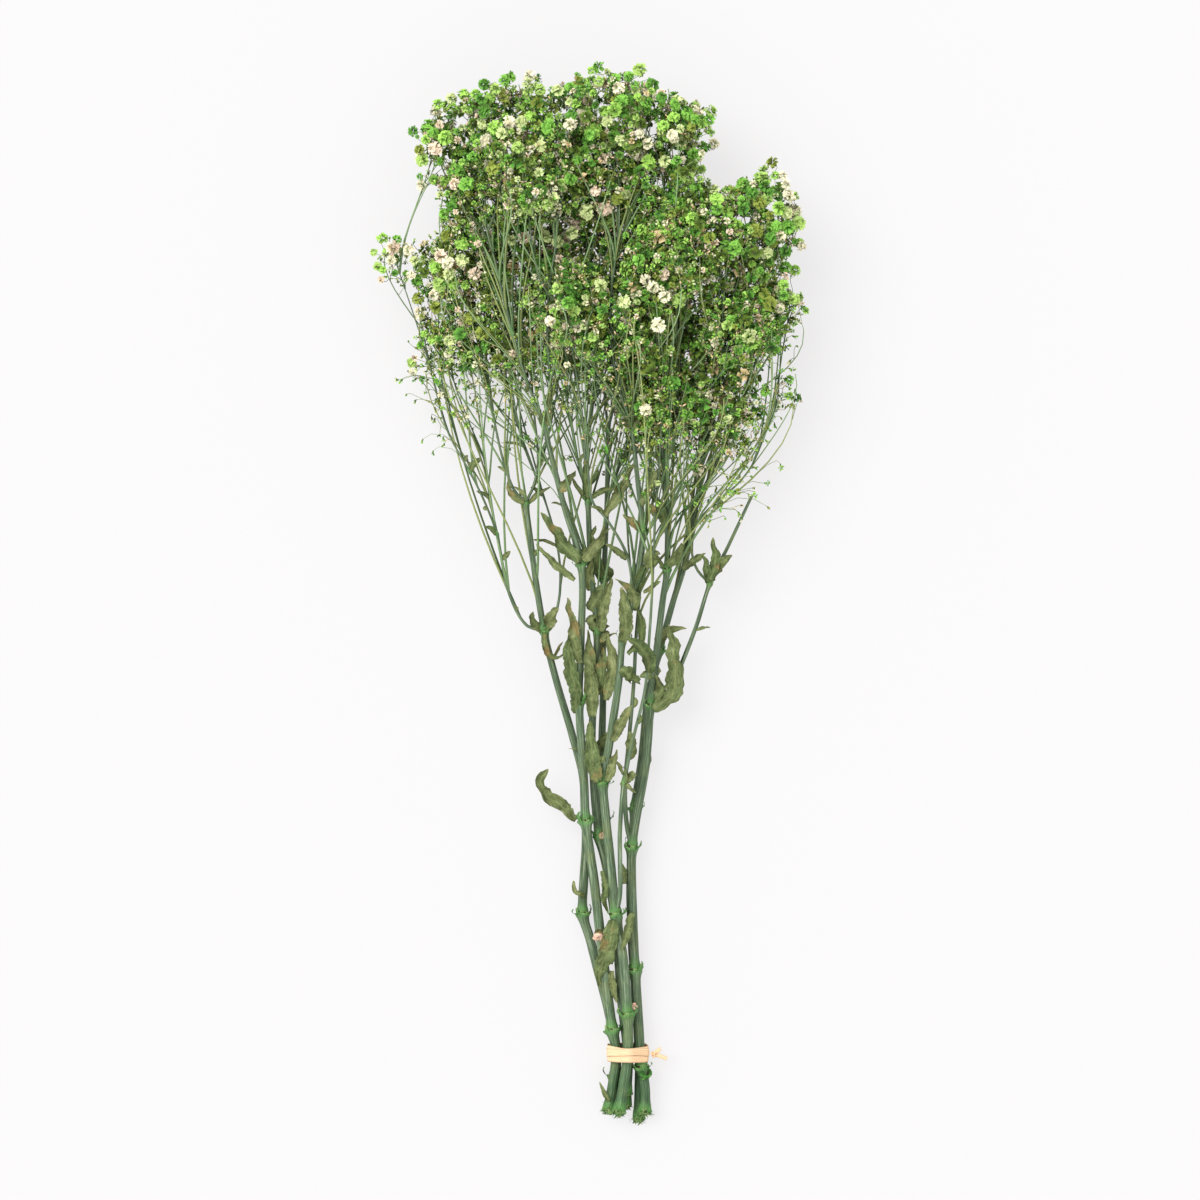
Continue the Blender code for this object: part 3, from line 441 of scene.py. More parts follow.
class Surface:
    """Gathers points, faces and map places in millimetres and makes one piece of them."""

    def __init__(self):
        self.points, self.faces, self.places, self.tints = [], [], [], []
        self.count = 0

    def add(self, points, faces, places, tints=None):
        """places holds one pair for each corner of each face, tints one triple a point."""
        self.points.append(np.asarray(points, float).reshape(-1, 3))
        self.faces.append(np.asarray(faces, int) + self.count)
        self.places.append(np.asarray(places, float).reshape(-1, 2))
        if tints is not None:
            self.tints.append(np.asarray(tints, float).reshape(-1, 3))
        self.count += len(self.points[-1])

    def cap(self, rings, around, v):
        """Closes both ends of the tube added last; v is how far along the map each ring is."""
        first = self.count - rings * around
        for row, order in ((0, -1), (rings - 1, 1)):
            self.faces.append((first + row * around + np.arange(around)[::order])[None, :])
            self.places.append(np.tile((0.0, v[row]), (around, 1)))

    def piece(self, name, material, slot, map_name="OFBake", replaced=()):
        """Makes the piece, in metres and with nothing below the surface."""
        points = (np.concatenate(self.points) + np.array(SHIFT)) * MM
        points[:, 2] = np.maximum(points[:, 2], 0.0)
        corners = np.concatenate([faces.ravel() for faces in self.faces])
        sizes = np.concatenate([np.full(len(faces), faces.shape[1]) for faces in self.faces])
        starts = np.concatenate([[0], np.cumsum(sizes)[:-1]])
        mesh = bpy.data.meshes.new(name)
        mesh.vertices.add(len(points))
        mesh.vertices.foreach_set("co", points.astype(np.float32).ravel())
        mesh.loops.add(len(corners))
        mesh.loops.foreach_set("vertex_index", corners.astype(np.int32))
        mesh.polygons.add(len(sizes))
        mesh.polygons.foreach_set("loop_start", starts.astype(np.int32))
        mesh.update(calc_edges=True)
        layer = mesh.uv_layers.new(name=map_name)
        layer.uv.foreach_set("vector", np.concatenate(self.places).astype(np.float32).ravel())
        if self.tints:
            tint = mesh.color_attributes.new("tint", "FLOAT_COLOR", "POINT")
            values = np.concatenate(self.tints)
            values = np.concatenate([values, np.ones((len(values), 1))], axis=1)
            tint.data.foreach_set("color", values.astype(np.float32).ravel())
        mesh.materials.append(material)
        mesh.shade_smooth()
        obj = new_object(name, mesh)
        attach(obj, BODY)
        if replaced:
            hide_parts(*replaced)


def new_object(name, data):
    obj = bpy.data.objects.new(name, data)
    bpy.context.scene.collection.objects.link(obj)
    return obj


def lifted(points):
    """The points, with those that lie too low raised to just above the surface."""
    points[..., 2] = np.maximum(points[..., 2], FLOOR_GAP)
    return points


def to_table(points):
    """Places in the frame, in metres, as table places in millimetres."""
    return np.array(points) / MM - np.array(SHIFT)


def unit(vector):
    return vector / max(np.linalg.norm(vector), 1e-9)


def units(vectors):
    return vectors / np.maximum(np.linalg.norm(vectors, axis=1), 1e-9)[:, None]


def marks_along(points):
    """How far along a line each of its points is."""
    steps = np.linalg.norm(np.diff(points, axis=0), axis=1)
    return np.concatenate([[0.0], np.cumsum(steps)])


def sides_along(points):
    """Two directions across a line at each of its points, which turn no more than it bends."""
    points = np.asarray(points, float)
    along = units(np.gradient(points, axis=0))
    side = np.cross(along[0], (0.0, 0.0, 1.0) if abs(along[0][2]) < 0.9 else (1.0, 0.0, 0.0))
    sides = []
    for direction in along:
        side = side - direction * side.dot(direction)
        side /= np.linalg.norm(side)
        sides.append(side)
    sides = np.array(sides)
    return along, sides, np.cross(along, sides)


def circles(sides, ups, count):
    """The angles of a circle's points, and a unit circle across a line at each of its points."""
    angles = np.arange(count) * 2 * math.pi / count
    return angles, (np.cos(angles)[None, :, None] * sides[:, None]
                    + np.sin(angles)[None, :, None] * ups[:, None])


# ---------------------------------------------------------------- materials

class Nodes:
    """A material's node tree, with short calls for what the materials here need."""

    def __init__(self, name):
        self.material = bpy.data.materials.new(name)
        self.material.use_nodes = True
        self.tree = self.material.node_tree
        self.shader = self.tree.nodes["Principled BSDF"]

    def new(self, kind, **values):
        node = self.tree.nodes.new(kind)
        for key, value in values.items():
            if key in node.inputs:
                node.inputs[key].default_value = value
            else:
                setattr(node, key, value)
        return node

    def link(self, source, target):
        self.tree.links.new(source, target)

    def feed(self, socket, value):
        """Gives a socket another node's output, a display colour or a number."""
        if isinstance(value, bpy.types.NodeSocket):
            self.link(value, socket)
        else:
            socket.default_value = colour(value) if isinstance(value, tuple) else value

    def map_of(self, name):
        return self.new("ShaderNodeUVMap", uv_map=name).outputs["UV"]

    def room(self):
        return self.new("ShaderNodeTexCoord").outputs["Object"]

    def tints(self):
        """The three values that each point carries."""
        tint = self.new("ShaderNodeAttribute", attribute_name="tint")
        return self.parts_of(tint.outputs["Vector"])

    def noise(self, vector, scale, detail=3.0, roughness=0.55, distortion=0.0):
        node = self.new("ShaderNodeTexNoise", Scale=scale, Detail=detail, Roughness=roughness,
                        Distortion=distortion)
        self.link(vector, node.inputs["Vector"])
        return node.outputs["Fac"]

    def ramp(self, source, stops, interpolation="LINEAR"):
        """stops are (place, display colour or number)."""
        node = self.new("ShaderNodeValToRGB")
        node.color_ramp.interpolation = interpolation
        elements = node.color_ramp.elements
        while len(elements) < len(stops):
            elements.new(0.5)
        for element, (place, value) in zip(elements, stops):
            element.position = place
            element.color = colour(value) if isinstance(value, tuple) else (value,) * 3 + (1.0,)
        self.link(source, node.inputs["Fac"])
        return node.outputs["Color"]

    def mix(self, factor, first, second, blend="MIX"):
        node = self.new("ShaderNodeMix", data_type="RGBA", blend_type=blend)
        for i, value in ((0, factor), (6, first), (7, second)):
            self.feed(node.inputs[i], value)
        return node.outputs[2]

    def over(self, base, source, stops, rgb):
        """Another colour over the base, as much as the ramp through source says."""
        return self.mix(self.ramp(source, stops), base, rgb)

    def times(self, base, other):
        return self.mix(1.0, base, other, "MULTIPLY")

    def math(self, operation, source, value=0.0):
        node = self.new("ShaderNodeMath", operation=operation)
        self.link(source, node.inputs[0])
        self.feed(node.inputs[1], value)
        return node.outputs["Value"]

    def stretched(self, source, scale):
        node = self.new("ShaderNodeMapping")
        node.inputs["Scale"].default_value = scale
        self.link(source, node.inputs["Vector"])
        return node.outputs["Vector"]

    def parts_of(self, source):
        node = self.new("ShaderNodeSeparateXYZ")
        self.link(source, node.inputs[0])
        return node.outputs

    def bump(self, height, strength, distance):
        node = self.new("ShaderNodeBump", Strength=strength, Distance=distance)
        self.link(height, node.inputs["Height"])
        self.link(node.outputs["Normal"], self.shader.inputs["Normal"])

    def finish(self, base, roughness, specular=0.4):
        self.link(base, self.shader.inputs["Base Color"])
        self.feed(self.shader.inputs["Roughness"], roughness)
        self.shader.inputs["Specular IOR Level"].default_value = specular
        return self.material


MOTTLE = 1.1                # how strongly the petals are mottled between heart and rim colours


def spray_material():
    """Petals, calyces, bracts and twigs.

    The map holds a column for each tone, which runs from heart to rim; the darker heart is partly
    the petals' green base and partly painted shade inside the flower.  The place across a column
    makes one petal darker or lighter than the next, with fine streaks along it, and its dark end
    also holds the painted shade of blossoms deep in the bunch.
    """
    nodes = Nodes("spray")
    place = nodes.map_of("OFBake")
    column, depth, _ = nodes.parts_of(place)
    heart, rim = (
        nodes.ramp(column, [(i / len(TONES), rgb) for i, rgb in enumerate(rgbs)], "CONSTANT")
        for rgbs in zip(*TONES.values()))
    mottle = nodes.math("SUBTRACT", nodes.noise(nodes.room(), 1300, 3, 0.7), 0.5)
    mottled = nodes.math("ADD", depth, nodes.math("MULTIPLY", mottle, MOTTLE))
    # Heart to rim: the heart colour is partly painted shade inside the flower.
    base = nodes.mix(nodes.ramp(mottled, ((0.25, 0.05), (0.62, 0.60), (0.90, 1.0))), heart, rim)
    across = nodes.math("FRACT", nodes.math("MULTIPLY", column, len(TONES)))
    # Darker towards the low end of a column: each petal's own lightness, and painted shade for deep
    # blossoms.
    shade = nodes.ramp(across, ((0.04, 0.28), (0.24, 0.60), (0.5, 0.96), (0.9, 1.0)))
    streak = nodes.noise(nodes.stretched(place, (900, 9, 1)), 1.0, 2)
    base = nodes.times(nodes.times(base, shade), nodes.ramp(streak, ((0.3, 0.84), (0.6, 1.0))))
    return nodes.finish(base, 0.75, 0.25)


def stem_material():
    """Waxy grey-green bark with fine streaks, brighter joints and pale pith at the cut ends,
    with painted shade in the grooves of the joints and the hollows of the cut ends.
    """
    nodes = Nodes("stem")
    joint, cut, tone = nodes.tints()
    along, room = nodes.map_of("Along"), nodes.room()
    _, place, _ = nodes.parts_of(room)
    upper = nodes.ramp(nodes.math("ADD", nodes.math("MULTIPLY", place, 16.0), 4.6),
                       ((0.0, 0.0), (1.0, 1.0)))
    streak = nodes.noise(nodes.stretched(along, (1.3, 0.045, 1)), 1.0, 6, 0.7)
    fine = nodes.noise(nodes.stretched(along, (5.0, 0.4, 1)), 1.0, 4, 0.65)
    patch = nodes.noise(room, 70, 4, 0.65)
    bark = nodes.ramp(streak, ((0.30, (28, 40, 26)), (0.43, (60, 80, 54)), (0.54, (92, 112, 82)),
                               (0.68, (150, 162, 138))))
    dark = nodes.ramp(streak, ((0.30, (26, 46, 28)), (0.43, (48, 76, 46)), (0.54, (66, 98, 60)),
                               (0.68, (112, 144, 104))))
    bark = nodes.mix(upper, dark, bark)
    bark = nodes.over(bark, patch, ((0.50, 0.0), (0.74, 0.5)), (112, 122, 74))
    bark = nodes.over(bark, patch, ((0.26, 0.5), (0.42, 0.0)), (70, 94, 72))
    bark = nodes.mix(tone, bark, nodes.times(bark, (206, 212, 204)))
    green = nodes.ramp(fine, ((0.32, (34, 78, 26)), (0.50, (72, 130, 52)), (0.68, (122, 172, 88))))
    bark = nodes.mix(nodes.math("MULTIPLY", joint, 0.85), bark, green)
    pith = nodes.ramp(fine, ((0.3, (70, 112, 48)), (0.7, (168, 184, 118))))
    bark = nodes.over(bark, cut, ((0.15, 0.0), (0.40, 0.75), (0.6, 0.75)), pith)
    # Painted shade: near black in the hollow of a cut end and in the groove of a joint.
    bark = nodes.over(bark, cut, ((0.52, 0.0), (0.80, 1.0)), (34, 36, 20))
    nodes.bump(nodes.mix(0.5, streak, fine), 0.6, 0.0004)
    return nodes.finish(bark, nodes.ramp(streak, ((0.3, 0.50), (0.7, 0.70))), 0.35)


def stub_material():
    """Bare pith, pinkish and speckled, on a brown-green stump, or a green one that is hollow,
    with painted shade in the hollow.
    """
    nodes = Nodes("pith")
    bare, fresh, hollow = nodes.tints()
    room = nodes.room()
    grain = nodes.noise(room, 1400, 4, 0.7)
    patch = nodes.noise(room, 400, 3, 0.6)
    bark = nodes.ramp(patch, ((0.3, (44, 60, 30)), (0.5, (92, 76, 46)), (0.7, (96, 118, 66))))
    green = nodes.ramp(patch, ((0.3, (26, 66, 24)), (0.5, (60, 116, 44)), (0.7, (112, 160, 80))))
    bark = nodes.mix(fresh, bark, green)
    # Painted shade: the hollow is painted near black.
    bark = nodes.mix(hollow, bark, (24, 20, 12))
    pith = nodes.ramp(grain, ((0.32, (150, 96, 74)), (0.48, (218, 176, 150)),
                              (0.66, (246, 222, 204))))
    base = nodes.over(bark, bare, ((0.1, 0.0), (0.6, 1.0)), pith)
    nodes.bump(grain, 0.7, 0.0004)
    return nodes.finish(base, 0.8, 0.2)


def leaf_material():
    """Dried olive leaf: mottled and veined, tan at its edges, with brown patches and specks."""
    nodes = Nodes("leaf")
    dry, rib, tone = nodes.tints()
    along, room = nodes.map_of("Along"), nodes.room()
    mottle = nodes.noise(room, 170, 6, 0.7, 0.8)
    patch = nodes.noise(room, 60, 3, 0.6)
    vein = nodes.noise(nodes.stretched(along, (3.0, 0.25, 1)), 1.0, 5, 0.65)
    blade = nodes.ramp(mottle, ((0.30, (58, 66, 34)), (0.44, (92, 102, 58)),
                                (0.58, (122, 130, 84)), (0.74, (160, 164, 120))))
    blade = nodes.mix(tone, blade, nodes.times(blade, (192, 218, 196)))
    edge = nodes.mix(0.5, dry, mottle)
    speck = nodes.noise(room, 900, 2, 0.5)
    for source, stops, rgb in (
            (vein, ((0.36, 0.6), (0.56, 0.0)), (54, 64, 32)),
            (vein, ((0.56, 0.0), (0.72, 0.45)), (176, 182, 130)),
            (rib, ((0.0, 0.0), (1.0, 0.25)), (158, 164, 104)),
            (patch, ((0.60, 0.0), (0.72, 0.55)), (150, 112, 68)),
            (edge, ((0.54, 0.0), (0.74, 0.7)), (168, 146, 98)),
            (speck, ((0.66, 0.0), (0.72, 0.7)), (54, 50, 28))):
        blade = nodes.over(blade, source, stops, rgb)
    nodes.bump(nodes.mix(0.5, vein, mottle), 0.7, 0.0008)
    return nodes.finish(blade, nodes.ramp(mottle, ((0.3, 0.62), (0.7, 0.82))), 0.3)


def raffia_material():
    """Dry palm fibre: long pale and tan threads."""
    nodes = Nodes("raffia")
    along = nodes.map_of("Along")
    thread = nodes.noise(nodes.stretched(along, (7.0, 0.12, 1)), 1.0, 4, 0.65)
    patch = nodes.noise(nodes.stretched(along, (0.5, 0.25, 1)), 1.0, 2)
    base = nodes.ramp(thread, ((0.28, (190, 144, 100)), (0.5, (222, 186, 146)),
                               (0.72, (238, 210, 176))))
    base = nodes.over(base, patch, ((0.5, 0.0), (0.8, 0.5)), (224, 182, 136))
    nodes.bump(thread, 0.6, 0.0003)
    return nodes.finish(base, nodes.ramp(thread, ((0.3, 0.5), (0.7, 0.7))), 0.4)


# ---------------------------------------------------------------- routes

def routes_of(stem):
    """A stem's trunk and its branches."""
    return [stem["trunk"]] + [route for _, route in stem["branches"]]


def segment_length(route, i):
    return (Vector(route[i + 1][:3]) - Vector(route[i][:3])).length


def route_at(route, place):
    """Position and radius at a place on the smooth curve through a route's points.

    The whole part of place is the segment and its fraction the way along it.
    """
    last = len(route) - 1
    i = min(int(place), last - 1)
    t = place - i
    p1, p2 = (Vector(route[k][:3]) for k in (i, i + 1))
    length = (p2 - p1).length
    start = end = p2 - p1
    if i > 0:
        p0 = Vector(route[i - 1][:3])
        start = (p2 - p0) * length / ((p1 - p0).length + length)
    if i + 1 < last:
        p3 = Vector(route[i + 2][:3])
        end = (p3 - p1) * length / ((p3 - p2).length + length)
    t2, t3 = t * t, t * t * t
    position = ((2 * t3 - 3 * t2 + 1) * p1 + (t3 - 2 * t2 + t) * start
                + (3 * t2 - 2 * t3) * p2 + (t3 - t2) * end)
    radius = route[i][3] + (route[i + 1][3] - route[i][3]) * t
    return position, radius


class Course:
    """A route measured along its length, in millimetres."""

    STEP = 0.5

    def __init__(self, route):
        places, points, radii = [], [], []
        last = len(route) - 1
        for i in range(last):
            count = max(2, round(segment_length(route, i) / self.STEP))
            places += [i + k / count for k in range(count)]
        places.append(float(last))
        for place in places:
            position, radius = route_at(route, place)
            points.append(position)
            radii.append(radius)
        self.points, self.radii = np.array(points), np.array(radii)
        self.marks = marks_along(self.points)
        self.length = self.marks[-1]
        self.joints = [
            float(np.interp(i, places, self.marks))
            for i, stop in enumerate(route) if len(stop) > 4
        ]

    def at(self, marks):
        """Positions and radii at these distances along."""
        marks = np.atleast_1d(marks)
        points = np.stack([np.interp(marks, self.marks, axis) for axis in self.points.T], axis=1)
        return points, np.interp(marks, self.marks, self.radii)


# ---------------------------------------------------------------- stems

TRUNK_AROUND = 16
BRANCH_AROUND = 9
TRUNK_RINGS = 2.6           # spacing of the rings
BRANCH_RINGS = 3.4
RIB = 0.035                 # depth of the dried ribs, as a share of the radius
RIBS = 7
RIB_TWIST = 0.02            # radians that the ribs turn over a millimetre
WANDER = 0.05               # how unevenly thick a stem is
WANDER_PACE = 0.09          # how fast that changes along it

# How slim the dried stems are at places along Y.
SLIM = ((-300, 0.94), (-200, 0.90), (-100, 0.80), (0, 0.68), (80, 0.60), (250, 0.50))

# A swollen joint: the distance along from its middle for a 3 mm stem, and how much wider it is.
# The sheath below flares to a torn lip, with a groove and a second, smaller swelling above it.
JOINT = (
    (-9.0, 1.00), (-6.0, 1.05), (-3.8, 1.16), (-2.2, 1.32), (-1.0, 1.50), (-0.1, 1.60),
    (0.5, 1.56), (0.9, 1.22), (1.4, 1.14), (2.0, 1.32), (3.0, 1.24), (4.8, 1.09), (7.5, 1.00),
)
JOINT_FOR = 3.0
GREEN = ((-4.5, -1.6, 0.4, 1.2, 2.4, 5.0, 9.0), (0.0, 0.35, 1.0, 0.6, 0.9, 0.5, 0.0))
# Painted shade: how dark the groove of a joint is painted.
GROOVE_SHADE = ((0.55, 0.9, 1.4, 1.8), (0.0, 1.0, 1.0, 0.0))     # how dark the groove is along a joint
LIP = ((-2.0, -0.3, 0.6, 1.2), (0.0, 1.0, 1.0, 0.0))      # where the torn lip is
LIP_WIDE = 0.24             # the sheath is wider on two sides
TORN = 1.3                  # how far its edge is torn up and down
KNOTS = {"stem_right": (-268,), "stem_left": (-274,)}     # more swellings, at places along Y

# Ends, from the middle out to the bark: share of the radius, distance out, how much pith shows.
# Past about half, the middle is painted near black instead, as painted shade in the hollow.
CUT = ((0.14, -0.7, 1.0), (0.30, -0.3, 0.80), (0.50, 0.05, 0.34), (0.86, 0.15, 0.22))
TAPER = ((0.45, 0.55, 0.0),)
CUT_ROUGH = 0.26
GREEN_AT_CUT = 0.9
CUT_FLARE = 0.30            # how much wider a trunk is at its cut end
CUT_LENGTH = 8.0            # and over what length
CUT_UNEVEN = 0.14           # how far from round it is crushed
OBLIQUE = 0.50              # how far the cut runs back over the top, as a share of the diameter


def slimness(y):
    """How slim the dried stems are, as a share of their routes' radii, at a place along Y."""
    return np.interp(y, *zip(*SLIM))


def branch_taper(share):
    """How much slimmer a branch is than its route says, this share of the way along it."""
    return 1.0 - 0.28 * share


def joint_size(radius):
    """Thin branches have shorter joints."""
    return 0.30 + 0.60 * radius / JOINT_FOR


def ring_marks(course, joints, spacing):
    """Where the rings go: evenly, and at each corner of a joint's outline."""
    marks = list(np.linspace(0, course.length, max(2, round(course.length / spacing)) + 1))
    for joint in joints:
        size = joint_size(float(course.at(joint)[1][0]))
        low, high = joint + JOINT[0][0] * size, joint + JOINT[-1][0] * size
        marks = [mark for mark in marks if not low - 0.6 < mark < high + 0.6]
        marks += [joint + place * size for place, _ in JOINT]
    return np.array(sorted(mark for mark in marks if 0 <= mark <= course.length))


def waves_round(angles, seed, order):
    """An uneven value round a stem, about -1 to 1."""
    slow, fast = np.sin(order * angles + seed * 5.1), np.sin((order + 3) * angles + seed * 2.3)
    return (slow + 0.6 * fast) / 1.6


def joint_profile(course, joints, marks):
    """How swollen, green and torn a strand is at each mark, and its painted groove shade."""
    profile = np.repeat([[1.0], [0.0], [0.0], [0.0]], len(marks), axis=1)
    for joint in joints:
        off = (marks - joint) / joint_size(float(course.at(joint)[1][0]))
        for row, outline in enumerate((tuple(zip(*JOINT)), GREEN, GROOVE_SHADE, LIP)):
            profile[row] = np.maximum(profile[row], np.interp(off, *outline))
    return profile


def add_strand(surface, route, around, spacing, tone, cut_start, cut_end, seed, knots=()):
    """One trunk or branch: a ribbed tube with torn, swollen joints and rough cut ends."""
    course = Course(route)
    joints = course.joints + [float(np.interp(y, course.points[:, 1], course.marks)) for y in knots]
    marks = ring_marks(course, joints, spacing)
    points, radii = course.at(marks)
    radii = radii * slimness(points[:, 1])
    if around == BRANCH_AROUND:
        radii = radii * branch_taper(marks / course.length)
    swell, green, groove_shade, lip = joint_profile(course, joints, marks)
    if cut_start:
        near_cut = np.clip(1 - marks / CUT_LENGTH, 0, 1)
        swell = np.maximum(swell, 1 + CUT_FLARE * near_cut ** 0.6)
        green = np.maximum(green, GREEN_AT_CUT * near_cut)
    along, sides, ups = sides_along(points)
    angles, circle = circles(sides, ups, around)
    wander = np.array([
        1 + WANDER * noise.noise(Vector((mark * WANDER_PACE, seed * 7.3, 0.0))) for mark in marks
    ])
    ribs = 1 + RIB * np.cos(RIBS * angles[None, :] + RIB_TWIST * marks[:, None] + seed)
    torn = waves_round(angles, seed, 3)[None, :]
    lips = 1 + lip[:, None] * (LIP_WIDE * np.cos(2 * angles[None, :] + seed) + 0.10 * torn)
    if cut_start:
        lips = lips * (1 + CUT_UNEVEN * (near_cut ** 2)[:, None] * torn)
    reach = (radii * swell * wander)[:, None] * ribs * lips
    body = points[:, None] + reach[:, :, None] * circle
    body += (TORN * lip[:, None] * torn)[:, :, None] * along[:, None]
    if cut_start:
        fading = np.clip(1 - marks / (2 * CUT_LENGTH), 0, 1)[:, None]
        back = OBLIQUE * reach * (1 + circle[..., 2]) * fading
        body += back[:, :, None] * along[:, None]

    def end_rings(i, outward, cut, slanted):
        """Rings from the middle of an end out to its bark, with their tints and marks."""
        for share, out, pith in CUT if cut else TAPER:
            centre = points[i] + outward * out * radii[i]
            rough = 0 * angles
            if cut:
                rough = CUT_ROUGH * radii[i] * waves_round(angles, seed + share, 2)
            ring = centre + share * reach[i][:, None] * circle[i] + rough[:, None] * outward
            if slanted:
                rise = OBLIQUE * reach[i] * (1 + share * circle[i][:, 2])
                ring = ring - rise[:, None] * outward
            tint = (GREEN_AT_CUT if cut else green[i], pith, tone)
            yield ring, np.tile(tint, (around, 1)), marks[i]

    uneven = np.clip(0.65 + 0.5 * waves_round(angles, seed, 4), 0, 1)
    # The middle channel holds pith or painted shade; here it is the painted shade of the groove.
    body_tints = np.stack(np.broadcast_arrays(
        green[:, None] * (0.75 + 0.25 * uneven), groove_shade[:, None] * uneven, tone), axis=-1)
    rows = list(end_rings(0, -along[0], cut_start, cut_start))
    rows += zip(body, body_tints, marks)
    rows += list(end_rings(-1, along[-1], cut_end, False))[::-1]
    rings, tints, v = (np.array(values) for values in zip(*rows))
    u = np.arange(around + 1) / around * 2 * math.pi * radii[0]
    surface.add(lifted(rings), grid_faces(len(rings), around, closed=True), grid_places(u, v),
                tints)
    surface.cap(len(rings), around, v)
    rng = random.Random(f"strand {seed}")
    if around == TRUNK_AROUND:
        for joint in joints:
            add_flaps(surface, course, joint, tone, rng)
    if cut_start:
        for _ in range(SHREDS):
            add_shred(surface, points[0], (along[0], sides[0], ups[0]), float(reach[0].mean()),
                      tone, rng)


SHREDS = 34                 # torn fibres round a cut end
SHRED_LENGTH = (1.6, 4.4)
SHRED_CURL = (0.6, 3.0)     # radians from its foot to its tip
SHRED_LEAN = 1.4            # how far its tip goes to either side
SHRED_HALF = (0.35, 0.85)   # half width
SHRED_PALE = (0.0, 0.0, 0.2, 0.36, 0.62)    # how much pith it may show
FLAP_ROWS = 5
# A flap's length, width and how far it stands out or to one side, in radii of its joint.
FLAP_LENGTH = (0.9, 2.9)
FLAP_WIDTH = (0.45, 0.95)
FLAP_FLARE = (0.3, 1.5)
FLAP_KINK = 0.9
FLAP_DRY = (0.0, 0.0, 0.3, 0.45)    # how dark the tip of a flap may be


def add_shred(surface, centre, directions, radius, tone, rng):
    """A narrow torn fibre that starts at the rim of a cut end and curls outward."""
    along, side, up = directions
    angle = rng.uniform(0, 2 * math.pi)
    out = math.cos(angle) * side + math.sin(angle) * up
    across = np.cross(along, out)
    slant = OBLIQUE * radius * (1 + out[2])
    start = centre + out * radius * rng.uniform(0.45, 1.05)
    start = start + along * (slant + rng.uniform(-0.4, 1.2))
    length = rng.uniform(*SHRED_LENGTH)
    curl = rng.uniform(*SHRED_CURL)
    lean = rng.uniform(-SHRED_LEAN, SHRED_LEAN)
    rows = []
    for t in np.linspace(0, 1, FLAP_ROWS):
        turn = curl * t
        place = (start - along * length * math.sin(turn) / curl * 0.8
                 + out * length * (1 - math.cos(turn)) / curl + across * lean * t * t)
        half = rng.uniform(*SHRED_HALF) * (1 - 0.6 * t)
        rows.append([place - across * half, place + across * half])
    pale = rng.choice(SHRED_PALE)
    surface.add(lifted(np.array(rows)), grid_faces(FLAP_ROWS, 2),
                grid_places((0, 1), np.linspace(0, length, FLAP_ROWS)),
                np.tile((rng.uniform(0.4, 1.0), pale, tone), (FLAP_ROWS * 2, 1)))


def add_flaps(surface, course, joint, tone, rng):
    """The torn bases of leaves round a joint."""
    (place,), (radius,) = course.at(joint)
    (ahead,), _ = course.at(joint + 2)
    along = unit(ahead - place)
    level = unit(np.cross(along, (0.0, 0.0, 1.0)))
    radius *= slimness(place[1])
    for hand in (-1, 1, rng.choice((-0.6, 0.6))):
        out = unit(level * hand + np.array([0, 0, rng.uniform(-0.3, 0.9)]))
        across = np.cross(along, out)
        length = rng.uniform(*FLAP_LENGTH) * radius
        width = rng.uniform(*FLAP_WIDTH) * radius
        flare = rng.uniform(*FLAP_FLARE)
        kink = rng.uniform(-FLAP_KINK, FLAP_KINK)
        dry = rng.choice(FLAP_DRY)
        start = place + out * radius * 1.25 - along * radius * 0.3
        points, tints = [], []
        for t in np.linspace(0, 1, FLAP_ROWS):
            middle = (start + along * length * t + out * flare * radius * math.sin(t * 2.2)
                      + across * kink * radius * t * t)
            for s in (-1.0, -0.4, 0.3, 1.0):
                ragged = rng.uniform(0.75, 1.2) * (1 - 0.75 * t ** 2)
                dent = rng.uniform(-0.15, 0.15) * radius
                points.append(middle + across * s * width * ragged
                              + out * (dent - 0.25 * abs(s) * width))
                tints.append((1.0 - 0.5 * t, dry * t, tone))
        surface.add(points, grid_faces(FLAP_ROWS, 4),
                    grid_places((0, 1, 2, 3), np.linspace(0, length, FLAP_ROWS)), tints)


def build_stems(material):
    for number, (name, stem) in enumerate(STEMS.items()):
        surface = Surface()
        tone = (number * 0.37) % 1.0
        add_strand(surface, stem["trunk"], TRUNK_AROUND, TRUNK_RINGS, tone, True, False,
                   number + 0.5, KNOTS.get(name, ()))
        for k, (bloom, route) in enumerate(stem["branches"]):
            add_strand(surface, route, BRANCH_AROUND, BRANCH_RINGS, tone, False, bloom is None,
                       number + 0.57 + 0.13 * k)
        surface.piece("dressed_" + name, material, "stem", "Along", (name,))


# Where side shoots were cut off close to a stem: the middle of the cut, its direction, its
# radius and length, how pale its pith is and how dark its hollow is painted, as painted shade.
STUBS = (
    ((5.1, -194.5, 16.5), (-0.15, -0.75, 0.65), 3.1, 5.0, 1.0, 0.0),
    ((25.3, -233.0, 15.0), (0.45, 0.35, 0.85), 1.9, 3.5, 0.9, 0.0),
    ((7.2, -136.0, 21.5), (0.1, -0.4, 0.9), 2.0, 3.0, 0.25, 0.0),
    ((32.2, -270.5, 14.6), (0.25, 0.45, 0.85), 3.0, 5.0, 0.0, 1.0),
    ((29.4, -273.0, 14.2), (-0.6, 0.1, 0.8), 1.9, 4.0, 0.0, 1.0),
)
STUB_AROUND = 14
STUB_ROUGH = 0.16           # how uneven its sides are, as a share of the radius
STUB_RINGS = ((-1.0, 0.90), (-0.6, 1.0), (-0.2, 1.12), (-0.04, 1.10), (0.0, 0.88), (0.06, 0.55),
              (-0.04, 0.25))


